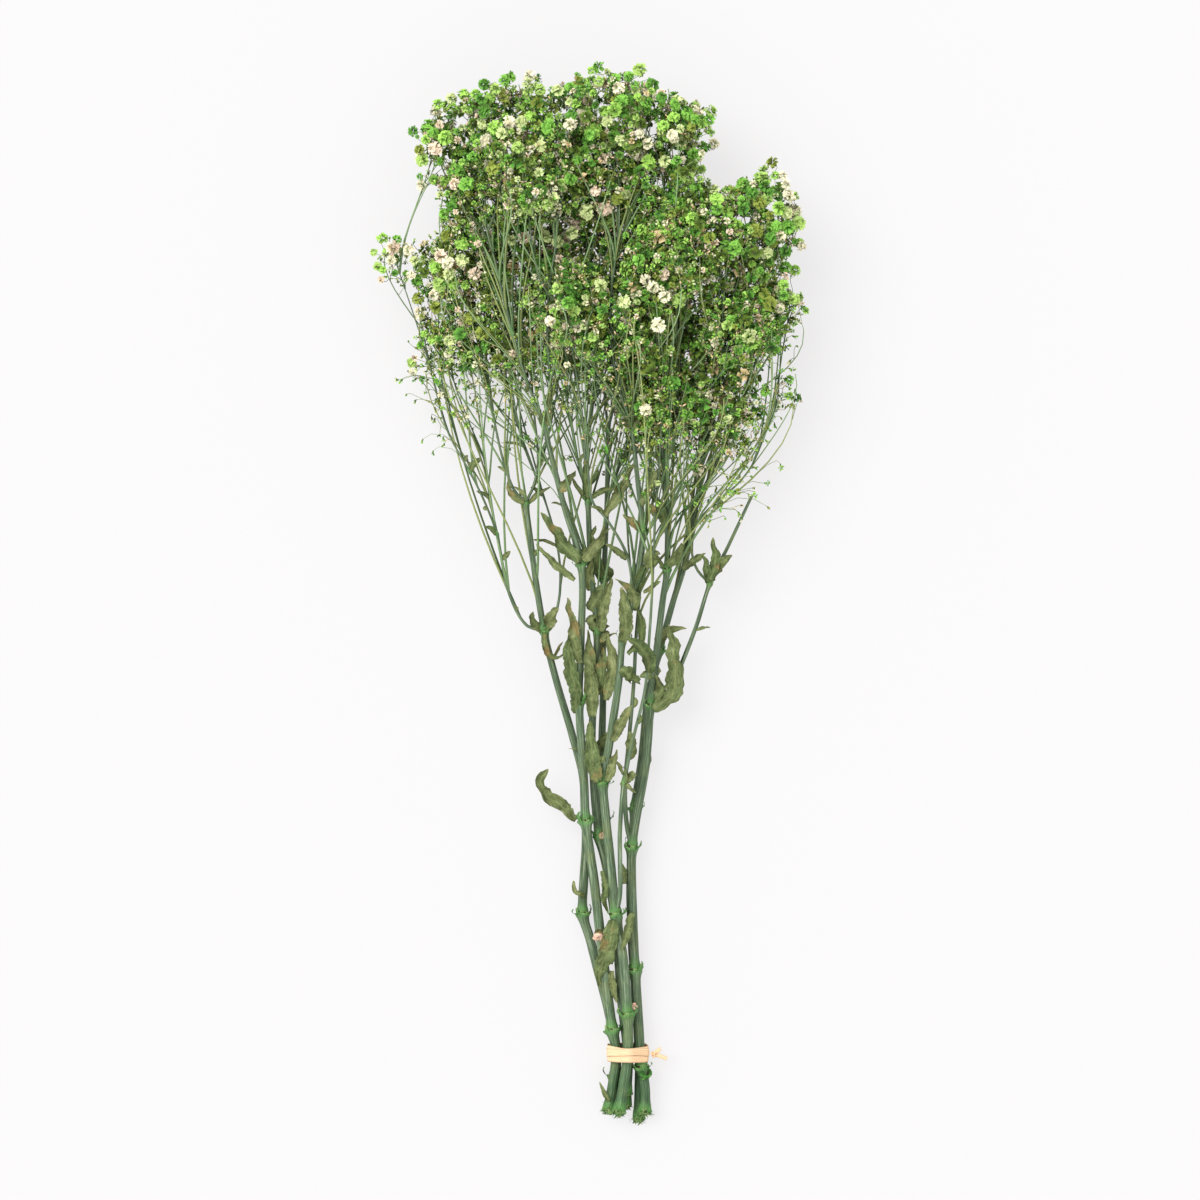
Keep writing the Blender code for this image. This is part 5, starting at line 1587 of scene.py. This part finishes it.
class Canopy:
    """All bloom clouds, in table millimetres, and the room that their blossoms take."""

    CELL = 8.0

    def __init__(self):
        corners, faces, self.owners, self.trees, self.boxes, bulk = [], [], [], {}, {}, {}
        for cloud in CLOUDS:
            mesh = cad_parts["bloom_" + cloud].data
            own = [vert.co / MM - SHIFT for vert in mesh.vertices]
            sides = [list(face.vertices) for face in mesh.polygons]
            self.trees[cloud] = BVHTree.FromPolygons(own, sides)
            faces += [[len(corners) + i for i in side] for side in sides]
            corners += own
            self.owners += [cloud] * len(sides)
            low, high = self.boxes[cloud] = to_table(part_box("bloom_" + cloud))
            bulk[cloud] = float(np.prod(high - low))
        self.tree = BVHTree.FromPolygons(corners, faces)
        middling = float(np.mean(list(bulk.values())))
        self.share = {cloud: (size / middling) ** 0.7 for cloud, size in bulk.items()}
        self.cells = {}
        self.branches = self.seen_branches()

    def seen_branches(self):
        """A search tree of the places along the high branches, seen from above."""
        places = []
        for stem in STEMS.values():
            for route in routes_of(stem):
                course = Course(route)
                points, _ = course.at(np.arange(0, course.length * CLEAR_TO, 2.0))
                places += [point for point in points if point[2] > CLEAR_ABOVE]
        tree = KDTree(len(places))
        self.heights = [point[2] for point in places]
        for i, (x, y, _) in enumerate(places):
            tree.insert((x, y, 0), i)
        tree.balance()
        return tree

    def hides(self, point, radius):
        """Whether a blossom would lie over a branch that is seen."""
        near = self.branches.find_range((point.x, point.y, 0), CLEAR + 0.6 * radius)
        return any(-1.0 < point.z - self.heights[i] < CLEAR_HIGH for _, i, _ in near)

    def top(self, x, y):
        """The place on the clouds' top side over a table place, and the cloud it belongs to."""
        place, _, i, _ = self.tree.ray_cast(Vector((x, y, 200)), Vector((0, 0, -1)))
        if place is None:
            near, _, i, _ = self.tree.find_nearest(Vector((x, y, 40)))
            place = Vector((x, y, near.z))
        return place, self.owners[i]

    def buried(self, point):
        """How far a place is below the clouds' top side, from 0 at the skin to 1, for painted
        shade.
        """
        top, _ = self.top(point.x, point.y)
        return min(1.0, max(0.0, (top.z - point.z - DEPTH_SHADE_FROM) / DEPTH_SHADE_OVER))

    def outward(self, point, cloud):
        """The way out of a cloud at a place: longer the nearer the place is to its skin."""
        low, high = self.boxes[cloud]
        return (np.array(point) - (low + high) / 2) / np.linalg.norm(high - low)

    def depth(self, point, cloud):
        """How far inside a cloud's skin a point lies, or less than nothing outside."""
        near, normal, _, _ = self.trees[cloud].find_nearest(point)
        return (near - point).dot(normal)

    def bridges(self, point, cloud):
        """Whether another cloud is near."""
        return any(self.owners[i] != cloud
                   for _, _, i, _ in self.tree.find_nearest_range(point, BRIDGE))

    def cell(self, point):
        return tuple(int(value // self.CELL) for value in point)

    def is_free(self, point, radius):
        x, y, z = self.cell(point)
        for i in (x - 1, x, x + 1):
            for j in (y - 1, y, y + 1):
                for k in (z - 1, z, z + 1):
                    for other, its_radius in self.cells.get((i, j, k), ()):
                        if (other - point).length < SPACING * (its_radius + radius):
                            return False
        return True

    def take(self, point, radius):
        self.cells.setdefault(self.cell(point), []).append((point, radius))

    def point_in(self, cloud, rng, least, most=math.inf, radius=0.0):
        """A free place in a cloud between two depths, or in the room between it and another."""
        low, high = self.boxes[cloud]
        for _ in range(TRIES):
            point = Vector([rng.uniform(low[i] - BRIDGE, high[i] + BRIDGE) for i in range(3)])
            if radius and not (self.is_free(point, radius) and is_grown(point)):
                continue
            depth = self.depth(point, cloud)
            if depth > most or depth < min(least, -BRIDGE if radius else least):
                continue
            if radius and self.hides(point, radius):
                continue
            if depth >= least or self.bridges(point, cloud):
                return point
        return None


def is_grown(point):
    """Whether a place is outside the thin places of the bunch."""
    return all(((point.x - x) / wide) ** 2 + ((point.y - y) / long) ** 2 > 1
               for x, y, wide, long in THIN)


def pick(rng, weights):
    return rng.choices(list(weights), list(weights.values()))[0]


def bloom_at(point, kind, outward, tone, forms, rng):
    """A blossom at a place, turned roughly outward and up."""
    blossom = Blossom(np.array(point))
    blossom.axis = unit(outward * OUTWARD + np.array(UPWARD)
                        + np.array([rng.gauss(0, STRAY) for _ in range(3)]))
    blossom.size = rng.uniform(*BLOSSOM_SIZE)
    blossom.spin = rng.uniform(0, TURN)
    blossom.shade = rng.uniform(*BLOSSOM_SHADE)
    blossom.form = rng.choice(forms[kind])
    blossom.tone = tone
    blossom.calyx = rng.choice(("calyx", "calyx", "calyx_olive"))
    return blossom


def seat(blossom):
    """Where its stalk ends, below the middle of the blossom."""
    blossom.base = blossom.middle - blossom.axis * blossom.form.reach * blossom.size
    return blossom


def stand_out(canopy, forms):
    """The largest flowers on the bunch's upper side, by cloud."""
    found = {cloud: [] for cloud in CLOUDS}
    rng = random.Random("standing out")
    for tone, flowers in STANDING_OUT.items():
        for x, y, size in flowers:
            point, cloud = canopy.top(x, y)
            point.z += rng.uniform(*LARGE_OUT)
            blossom = bloom_at(point, "full", canopy.outward(point, cloud), tone, forms, rng)
            blossom.size = size
            blossom.shade = LARGE_SHADE
            found[cloud].append(seat(blossom))
            canopy.take(point, FLOWER_RADIUS * size)
    return found


def scatter(name, canopy, forms, rng):
    """The blossoms of a cloud, the largest first."""
    fullness, mood = CLOUDS[name]
    found = []
    for (kind, radius, in_showy, in_other, most), wanted in zip(KINDS, FULLNESS[fullness]):
        least = in_showy if fullness == "showy" else in_other
        for _ in range(round(wanted * canopy.share[name])):
            point = canopy.point_in(name, rng, least, most, radius)
            if point is None:
                continue
            if kind in LOOSE_KINDS and name in LOW_CLOUDS and rng.random() < LOOSE:
                point.y -= min(rng.expovariate(1 / FRINGE), FRINGE_MOST)
            if point.z < radius + FLOOR_GAP:
                continue
            canopy.take(point, radius)
            tones = (HUSK_TONES if kind == "husk" else
                     MOODS[mood] if radius > TUFT_RADIUS else FLORET_MOODS[mood])
            blossom = bloom_at(point, kind, canopy.outward(point, name), pick(rng, tones), forms,
                               rng)
            # painted shade: the deeper below the clouds' top side, the darker
            blossom.shade -= DEPTH_SHADE * canopy.buried(point)
            found.append(seat(blossom))
    return found


class Twigs:
    """The fine stalks of a stem, in one mesh."""

    def __init__(self):
        self.surface = Surface()

    def places(self, tone, count, depths, shade=0.5):
        column = TONE_NAMES.index(tone)
        u = (column + shade + np.linspace(-0.06, 0.06, count + 1)) / len(TONES)
        return grid_places(u, depths)

    def add(self, points, radii, tone, sides, shade=0.5):
        _, side, up = sides_along(points)
        _, circle = circles(side, up, sides)
        body = lifted(points[:, None] + radii[:, None, None] * circle)
        self.surface.add(body, grid_faces(len(points), sides, True),
                         self.places(tone, sides, np.linspace(0.3, 0.9, len(points)), shade))

    def add_bract(self, base, away, length, tone):
        """A small dry scale: a thin blade that narrows to its tip."""
        side = unit(np.cross(away, (0.0, 0.0, 1.0))) * length * 0.17
        fold = np.cross(side, away) * 0.6
        points = []
        for out, wide, folded in ((0.0, 0.5, 0.0), (0.55, 1.0, 1.0), (1.0, 0.15, 0.0)):
            middle = base + away * length * out + fold * folded
            points += [middle - side * wide, middle + side * wide]
        self.surface.add(np.array(points), grid_faces(3, 2), self.places(tone, 1, (0.3, 0.8, 1.0)))


def bow(start, heading, end, arrival, steps):
    """A smooth curve from start to end with these directions at its ends."""
    span = np.linalg.norm(end - start)
    first = start + heading * span * BOW_OUT
    second = end - arrival * span * BOW_IN
    t = np.linspace(0, 1, steps)[:, None]
    return ((1 - t) ** 3 * start + 3 * (1 - t) ** 2 * t * first + 3 * (1 - t) * t ** 2 * second
            + t ** 3 * end)


def twig_radius(count):
    return TWIG_RADIUS * count ** TWIG_GROWTH


def grow(twigs, start, heading, ends, rng, thickest):
    """Joins the ends to the start with twigs that fork in two until each carries one blossom."""
    count = len(ends)
    radius = min(twig_radius(count), thickest)
    tone = rng.choice(TWIG_TONES)
    shade = rng.uniform(0.2, 0.9)
    if count == 1:
        end = ends[0]
        span = np.linalg.norm(end.base - start)
        curve = bow(start, heading, end.base, end.axis, 2 if span < 3 else 3 if span < 10 else 4)
        twigs.add(curve, np.linspace(radius, TWIG_RADIUS * 0.9, len(curve)), tone, 3, shade)
        return
    bases = np.array([end.base for end in ends])
    reach = bases.mean(axis=0) - start
    nearest = np.linalg.norm(bases - start, axis=1).min()
    share = next(share for most, share in FORK_AT if count <= most)
    step = max(FORK_LEAST, min(np.linalg.norm(reach) * share, nearest * 0.8))
    toward = unit(unit(reach) + heading * SWERVE)
    fork = start + toward * step
    directions = units(bases - fork)
    first = directions[np.argmin(directions @ unit(directions.mean(axis=0)))]
    second = directions[np.argmin(directions @ first)]
    for _ in range(2):
        left = directions @ first >= directions @ second
        if left.all() or not left.any():
            left = np.arange(count) < count // 2
            break
        first, second = unit(directions[left].mean(axis=0)), unit(directions[~left].mean(axis=0))
    curve = bow(start, heading, fork, toward, 3 if step > 4 else 2)
    twigs.add(curve, np.linspace(radius, radius * 0.92, len(curve)), tone,
              4 if count > 12 else 3, shade)
    for side in (left, ~left):
        group = [end for end, mine in zip(ends, side) if mine]
        away = unit(np.mean([end.base for end in group], axis=0) - fork)
        if rng.random() < BRACT_SHARE:
            twigs.add_bract(fork + away * radius, unit(away + toward * 0.4),
                            BRACT * rng.uniform(0.6, 1.3),
                            "bract" if rng.random() < 0.6 else "calyx_olive")
        grow(twigs, fork, unit(away * 0.75 + toward * 0.5), group, rng, radius * 0.9)


class Root:
    """A place on a branch or shoot from which twigs leave."""

    def __init__(self, stem, place, heading, radius):
        self.stem, self.place, self.heading, self.radius = stem, place, heading, radius
        self.blossoms = []


def roots_along(stem_name, course, step, first):
    marks = np.arange(course.length, min(first, course.length * 0.9), -step)
    places, radii = course.at(marks)
    before, _ = course.at(marks - 2.0)
    return [Root(stem_name, place, unit(place - behind), radius)
            for place, behind, radius in zip(places, before, radii)]


def starts_of_shoots():
    """Places on the upper trunks and the branches from which side shoots may leave."""
    starts = []
    for name, stem in STEMS.items():
        routes = [stem["trunk"]] + [route for bloom, route in stem["branches"] if bloom]
        for route in routes:
            starts += [root for root in roots_along(name, Course(route), SHOOT_STEP, 0.0)
                       if root.place[1] > SHOOT_FROM]
    return starts


def add_shoot(twigs, start, target, thick, rng):
    """One shoot from a place on a stem to its target, and the roots along it."""
    heading = unit(start.heading + unit(target - start.place))
    arrival = unit(np.array([rng.gauss(0, 0.25), 1.0, rng.gauss(0.1, 0.25)]))
    line = bow(start.place, heading, target, arrival, SHOOT_POINTS)
    swing = np.sin(np.linspace(0, rng.uniform(5, 9), SHOOT_POINTS) + rng.uniform(0, TURN))
    line[1:-1] += swing[1:-1, None] * np.array([rng.uniform(-1, 1), 0, rng.uniform(-1, 1)])
    line[:, 2] = np.maximum(line[:, 2], 1.0)
    radii = np.linspace(min(thick, start.radius * 0.6), SHOOT_RADIUS[1], SHOOT_POINTS)
    twigs[start.stem].add(line, radii, rng.choice(TWIG_TONES), 5, rng.uniform(0.3, 0.9))
    course = Course([(*point, radius) for point, radius in zip(line, radii)])
    return roots_along(start.stem, course, ROOT_STEP, course.length * 0.35)


def add_shoots(canopy, twigs):
    """Fine side shoots that fan out into the clouds, and the roots along them."""
    starts = starts_of_shoots()
    places = np.array([start.place for start in starts])
    headings = np.array([start.heading for start in starts])
    roots = []

    def grow_to(target, rng, allowed, lengths_from, liked, thick):
        if target is None:
            return
        away = np.array(target) - places
        lengths = np.linalg.norm(away, axis=1)
        straight = (away * headings).sum(axis=1) / np.maximum(lengths, 1e-6)
        fits = np.flatnonzero((lengths > lengths_from[0]) & (lengths < lengths_from[1])
                              & (straight > SHOOT_STRAIGHT) & allowed)
        if len(fits):
            cost = np.abs(lengths[fits] - liked) - STRAIGHT_WORTH * straight[fits]
            start = starts[int(rng.choice(list(fits[np.argsort(cost)[:CHOICE]])))]
            roots.extend(add_shoot(twigs, start, np.array(target), thick, rng))

    anywhere = np.ones(len(starts), bool)
    for cloud, (fullness, _) in CLOUDS.items():
        rng = random.Random("shoots " + cloud)
        for _ in range(round(SHOOTS[fullness] * canopy.share[cloud])):
            grow_to(canopy.point_in(cloud, rng, SHOOT_IN), rng, anywhere, SHOOT_LENGTH,
                    SHOOT_LIKED, SHOOT_RADIUS[0] * rng.uniform(0.75, 1.3))
    low_down = (places[:, 1] > LONG_FROM[0]) & (places[:, 1] < LONG_FROM[1])
    rng = random.Random("long shoots")
    for k in range(LONG_SHOOTS):
        target = canopy.point_in(LOW_CLOUDS[k % len(LOW_CLOUDS)], rng, SHOOT_IN)
        grow_to(target, rng, low_down, LONG_LENGTH, rng.uniform(*LONG_LIKED),
                LONG_RADIUS * rng.uniform(0.6, 1.2))
    high_up = places[:, 2] > HIGH_UP
    rng = random.Random("top shoots")
    for k in range(TOP_SHOOTS):
        low, high = canopy.boxes[LOW_CLOUDS[k % len(LOW_CLOUDS)]]
        target, _ = canopy.top(rng.uniform(low[0], high[0]), rng.uniform(low[1], high[1]))
        target.z += rng.uniform(*TOP_OUT)
        grow_to(target, rng, high_up, TOP_LENGTH, TOP_LIKED, TOP_RADIUS * rng.uniform(0.7, 1.3))
    return roots


def share_out(blossoms, roots):
    """Gives each blossom to the root that reaches it with the shortest and straightest twig."""
    places = np.array([root.place for root in roots])
    headings = np.array([root.heading for root in roots])
    for blossom in blossoms:
        away = blossom.base - places
        distance = np.maximum(np.linalg.norm(away, axis=1), 1e-6)
        turn = (away * headings).sum(axis=1) / distance
        roots[int(np.argmin(distance * (ROOT_TURN - turn)))].blossoms.append(blossom)


def build_sprays(material):
    forms = make_forms()
    canopy = Canopy()
    twigs = {name: Twigs() for name in STEMS}
    roots = add_shoots(canopy, twigs)
    for name, stem in STEMS.items():
        for bloom, route in stem["branches"]:
            if bloom:
                roots += roots_along(name, Course(route), ROOT_STEP, ROOT_START)
    standing = stand_out(canopy, forms)
    for cloud in CLOUDS:
        blossoms = standing[cloud] + scatter(cloud, canopy, forms, random.Random("cloud " + cloud))
        share_out(blossoms, roots)
        surface = Surface()
        for models in forms.values():
            for form in models:
                same = [b for b in blossoms if b.form is form]
                if same:
                    add_blossoms(surface, form, same)
        surface.piece("flowers_" + cloud, material, "bloom", replaced=("bloom_" + cloud,))
    for name in STEMS:
        rng = random.Random("twigs " + name)
        for root in roots:
            if root.stem == name and root.blossoms:
                grow(twigs[name], root.place, root.heading, root.blossoms, rng, root.radius * 0.9)
        twigs[name].surface.piece(name.replace("stem", "twigs"), material, "stem")


# ---------------------------------------------------------------- the tie

TIE_WINDINGS = (
    # middle along Y from the band's, slant, width, distance out
    (-2.3, 0.5, 4.4, 0.05), (0.3, -0.8, 4.4, 0.45), (2.4, 0.9, 4.2, 0.15),
)
TIE_AROUND = 96
STRAND_THICK = 0.42
STRAND_ACROSS = 7           # points over its face
FIBRE = 0.10                # depth of the fibres along it
BAND_SINK = 0.45            # how far the strand sinks into the solid that holds its room
BAND_SWING = 0.15           # how far a turn wanders along Y
BAND_UNEVEN = 0.08          # how uneven its width is
KNOT_IN, KNOT_AT = 2.3, -260.5      # its middle: from its left side, and along Y
KNOT_SIZE = 0.62
KNOT_POINTS = 60
KNOT_WIDTH, KNOT_THICK = 1.7, 0.8   # of the strand in the knot
TAILS = ((4.6, 4.0, 0.8), (8.0, -2.4, -1.6))    # from the knot's middle to their ends
TAIL_POINTS = 12
TAIL_THICK = 0.3
TAIL_WIDTHS = ((0, 0.4, 1), (1.7, 2.5, 2.1))    # at shares of the way along a tail


def hull(points):
    """The convex outline of flat points, anticlockwise."""
    points = sorted(set(map(tuple, np.round(points, 6))))

    def half(run):
        line = []
        for p in run:
            while len(line) > 1 and ((line[-1][0] - line[-2][0]) * (p[1] - line[-2][1])
                                     - (line[-1][1] - line[-2][1]) * (p[0] - line[-2][0])) <= 0:
                line.pop()
            line.append(p)
        return line[:-1]

    return np.array(half(points) + half(points[::-1]))


def strand_grid(points, sides, ups, widths, thick, rng):
    """A flat fibrous strand: rings of points round its cross-section."""
    phase = rng.uniform(0, TURN)
    rows = []
    for k, (point, side, up, width) in enumerate(zip(points, sides, ups, widths)):
        ring = []
        for s in np.linspace(-1, 1, STRAND_ACROSS):
            ridge = FIBRE * math.sin(s * 7 + phase + 0.05 * k) * (1 - s * s)
            ring.append(point + side * s * width / 2
                        + up * (thick * 0.5 * math.sqrt(max(0.0, 1.05 - s * s)) + ridge))
        for s in np.linspace(0.85, -0.85, STRAND_ACROSS - 2):
            ring.append(point + side * s * width / 2
                        - up * thick * 0.5 * math.sqrt(max(0.0, 1.05 - s * s)))
        rows.append(ring)
    return np.array(rows)


def add_strip(surface, rows, closed):
    count, around = rows.shape[:2]
    if closed:
        rows = np.concatenate([rows, rows[:1]])
    faces = grid_faces(len(rows), around, closed=True)
    if closed:
        faces = np.where(faces >= count * around, faces - count * around, faces)
        rows = rows[:-1]
    u = np.linspace(0, 6, around + 1)
    v = np.arange(count + (1 if closed else 0)) * 0.9
    surface.add(rows.reshape(-1, 3), faces, grid_places(u, v))


def build_band(material):
    """Three turns of a raffia strand pulled tight round the stems."""
    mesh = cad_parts["tie_band"].data
    corners = to_table([vert.co for vert in mesh.vertices])
    low, high = corners.min(axis=0), corners.max(axis=0)
    outline = hull(corners[:, (0, 2)])
    centre = outline.mean(axis=0)
    loop = np.concatenate([outline, outline[:1]])
    marks = marks_along(loop)
    places = np.linspace(0, marks[-1], TIE_AROUND, endpoint=False)
    x, z = (np.interp(places, marks, axis) for axis in loop.T)
    surface = Surface()
    for number, (shift, slant, width, out) in enumerate(TIE_WINDINGS):
        rng = random.Random(f"winding {number}")
        turn = np.arange(TIE_AROUND) / TIE_AROUND * 2 * math.pi
        y = ((low[1] + high[1]) / 2 + shift + slant * np.sin(turn)
             + BAND_SWING * np.sin(3 * turn + number))
        tangent = units(np.stack([np.roll(x, -1) - np.roll(x, 1), 0 * x,
                                  np.roll(z, -1) - np.roll(z, 1)], axis=1))
        ups = np.stack([tangent[:, 2], 0 * x, -tangent[:, 0]], axis=1)
        outward = np.stack([x - centre[0], 0 * x, z - centre[1]], axis=1)
        ups *= np.sign((ups * outward).sum(axis=1))[:, None]
        points = np.stack([x, y, z], axis=1) + ups * (out - BAND_SINK)
        sides = np.tile((0.0, 1.0, 0.0), (TIE_AROUND, 1))
        widths = width * (1 + BAND_UNEVEN * np.sin(2 * turn + number))
        add_strip(surface, strand_grid(points, sides, ups, widths, STRAND_THICK, rng), True)
    surface.piece("raffia_band", material, "raffia", "Along", ("tie_band",))


def build_knot(material):
    """A small overhand knot with two short blunt tails."""
    low, high = to_table(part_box("tie_knot"))
    centre = np.array([low[0] + KNOT_IN, KNOT_AT, (low[2] + high[2]) / 2])
    surface = Surface()
    rng = random.Random("knot")
    t = np.linspace(0, 2 * math.pi, KNOT_POINTS, endpoint=False)
    turns = np.stack([np.sin(t) + 1.5 * np.sin(2 * t), np.cos(t) - 1.5 * np.cos(2 * t),
                      -1.2 * np.sin(3 * t)], axis=1) * KNOT_SIZE
    path = centre + turns
    along = units(np.roll(path, -1, axis=0) - np.roll(path, 1, axis=0))
    ups = path - centre
    ups = units(ups - along * (ups * along).sum(axis=1)[:, None])
    sides = np.cross(along, ups)
    widths = np.full(KNOT_POINTS, KNOT_WIDTH)
    add_strip(surface, strand_grid(path, sides, ups, widths, KNOT_THICK, rng), True)
    for reach in TAILS:
        reach = np.array(reach)
        for _ in range(2):
            spread = np.array([rng.uniform(-0.4, 0.4), rng.uniform(-0.5, 0.5),
                               rng.uniform(-0.4, 0.4)])
            end = centre + reach * rng.uniform(0.80, 0.95) + spread
            line = bow(centre, unit(reach), end, unit(reach + spread * 2), TAIL_POINTS)
            _, side, up = sides_along(line)
            widths = np.interp(np.linspace(0, 1, TAIL_POINTS), *TAIL_WIDTHS)
            add_strip(surface, strand_grid(line, side, up, widths, TAIL_THICK, rng), False)
    surface.piece("raffia_knot", material, "raffia", "Along", ("tie_knot",))


# ---------------------------------------------------------------- floor, lights and camera

CAMERA_HEIGHT = 4.0
FRAME_WIDTH = 0.6792        # what the camera sees across, at the height of the flowers
FLOWER_LEVEL = 0.030
SENSOR = 36.0
CENTRE = (0.0046, -0.0027)
FLOOR_HALF = 3.0
FLOOR_GREY = (0.13, 0.13, 0.13, 1.0)
FLOOR_GLOW = ((1.0, 0.985, 0.99, 1.0), 0.73)    # colour and strength
SKY = ((1.0, 0.99, 0.985, 1.0), 1.25)
KEY = (2.5, 40, (0.55, -0.45, -1.0))    # strength, width in degrees, direction


def build_stage():
    mesh = bpy.data.meshes.new("floor")
    corners = [(x * FLOOR_HALF, y * FLOOR_HALF, 0) for x, y in ((-1, -1), (1, -1), (1, 1), (-1, 1))]
    mesh.from_pydata(corners, [], [(0, 1, 2, 3)])
    nodes = Nodes("floor")
    for name, value in (("Base Color", FLOOR_GREY), ("Emission Color", FLOOR_GLOW[0]),
                        ("Emission Strength", FLOOR_GLOW[1]), ("Roughness", 0.9),
                        ("Specular IOR Level", 0.1)):
        nodes.shader.inputs[name].default_value = value
    mesh.materials.append(nodes.material)
    new_object("floor", mesh)


def add_sun(name, strength, spread, direction):
    """A soft lamp so far away that it lights the whole floor alike."""
    light = bpy.data.lights.new(name, "SUN")
    light.energy = strength
    light.angle = math.radians(spread)
    obj = new_object(name, light)
    obj.rotation_euler = Vector(direction).to_track_quat("-Z", "Y").to_euler()


def build_light():
    scene = bpy.context.scene
    world = bpy.data.worlds.new("studio")
    world.use_nodes = True
    sky = world.node_tree.nodes["Background"]
    sky.inputs["Color"].default_value, sky.inputs["Strength"].default_value = SKY
    scene.world = world
    add_sun("key", *KEY)
    scene.view_settings.view_transform = "Standard"


def build_camera():
    camera = bpy.data.cameras.new("camera")
    camera.sensor_width = SENSOR
    camera.lens = SENSOR * (CAMERA_HEIGHT - FLOWER_LEVEL) / FRAME_WIDTH
    camera.clip_start, camera.clip_end = 0.05, 20.0
    obj = new_object("camera", camera)
    obj.location = (*CENTRE, CAMERA_HEIGHT)
    bpy.context.scene.camera = obj


def build():
    build_camera()
    build_light()
    build_stage()
    build_stems(stem_material())
    build_stubs(stub_material())
    build_leaves(leaf_material())
    build_sprays(spray_material())
    raffia = raffia_material()
    build_band(raffia)
    build_knot(raffia)


build()
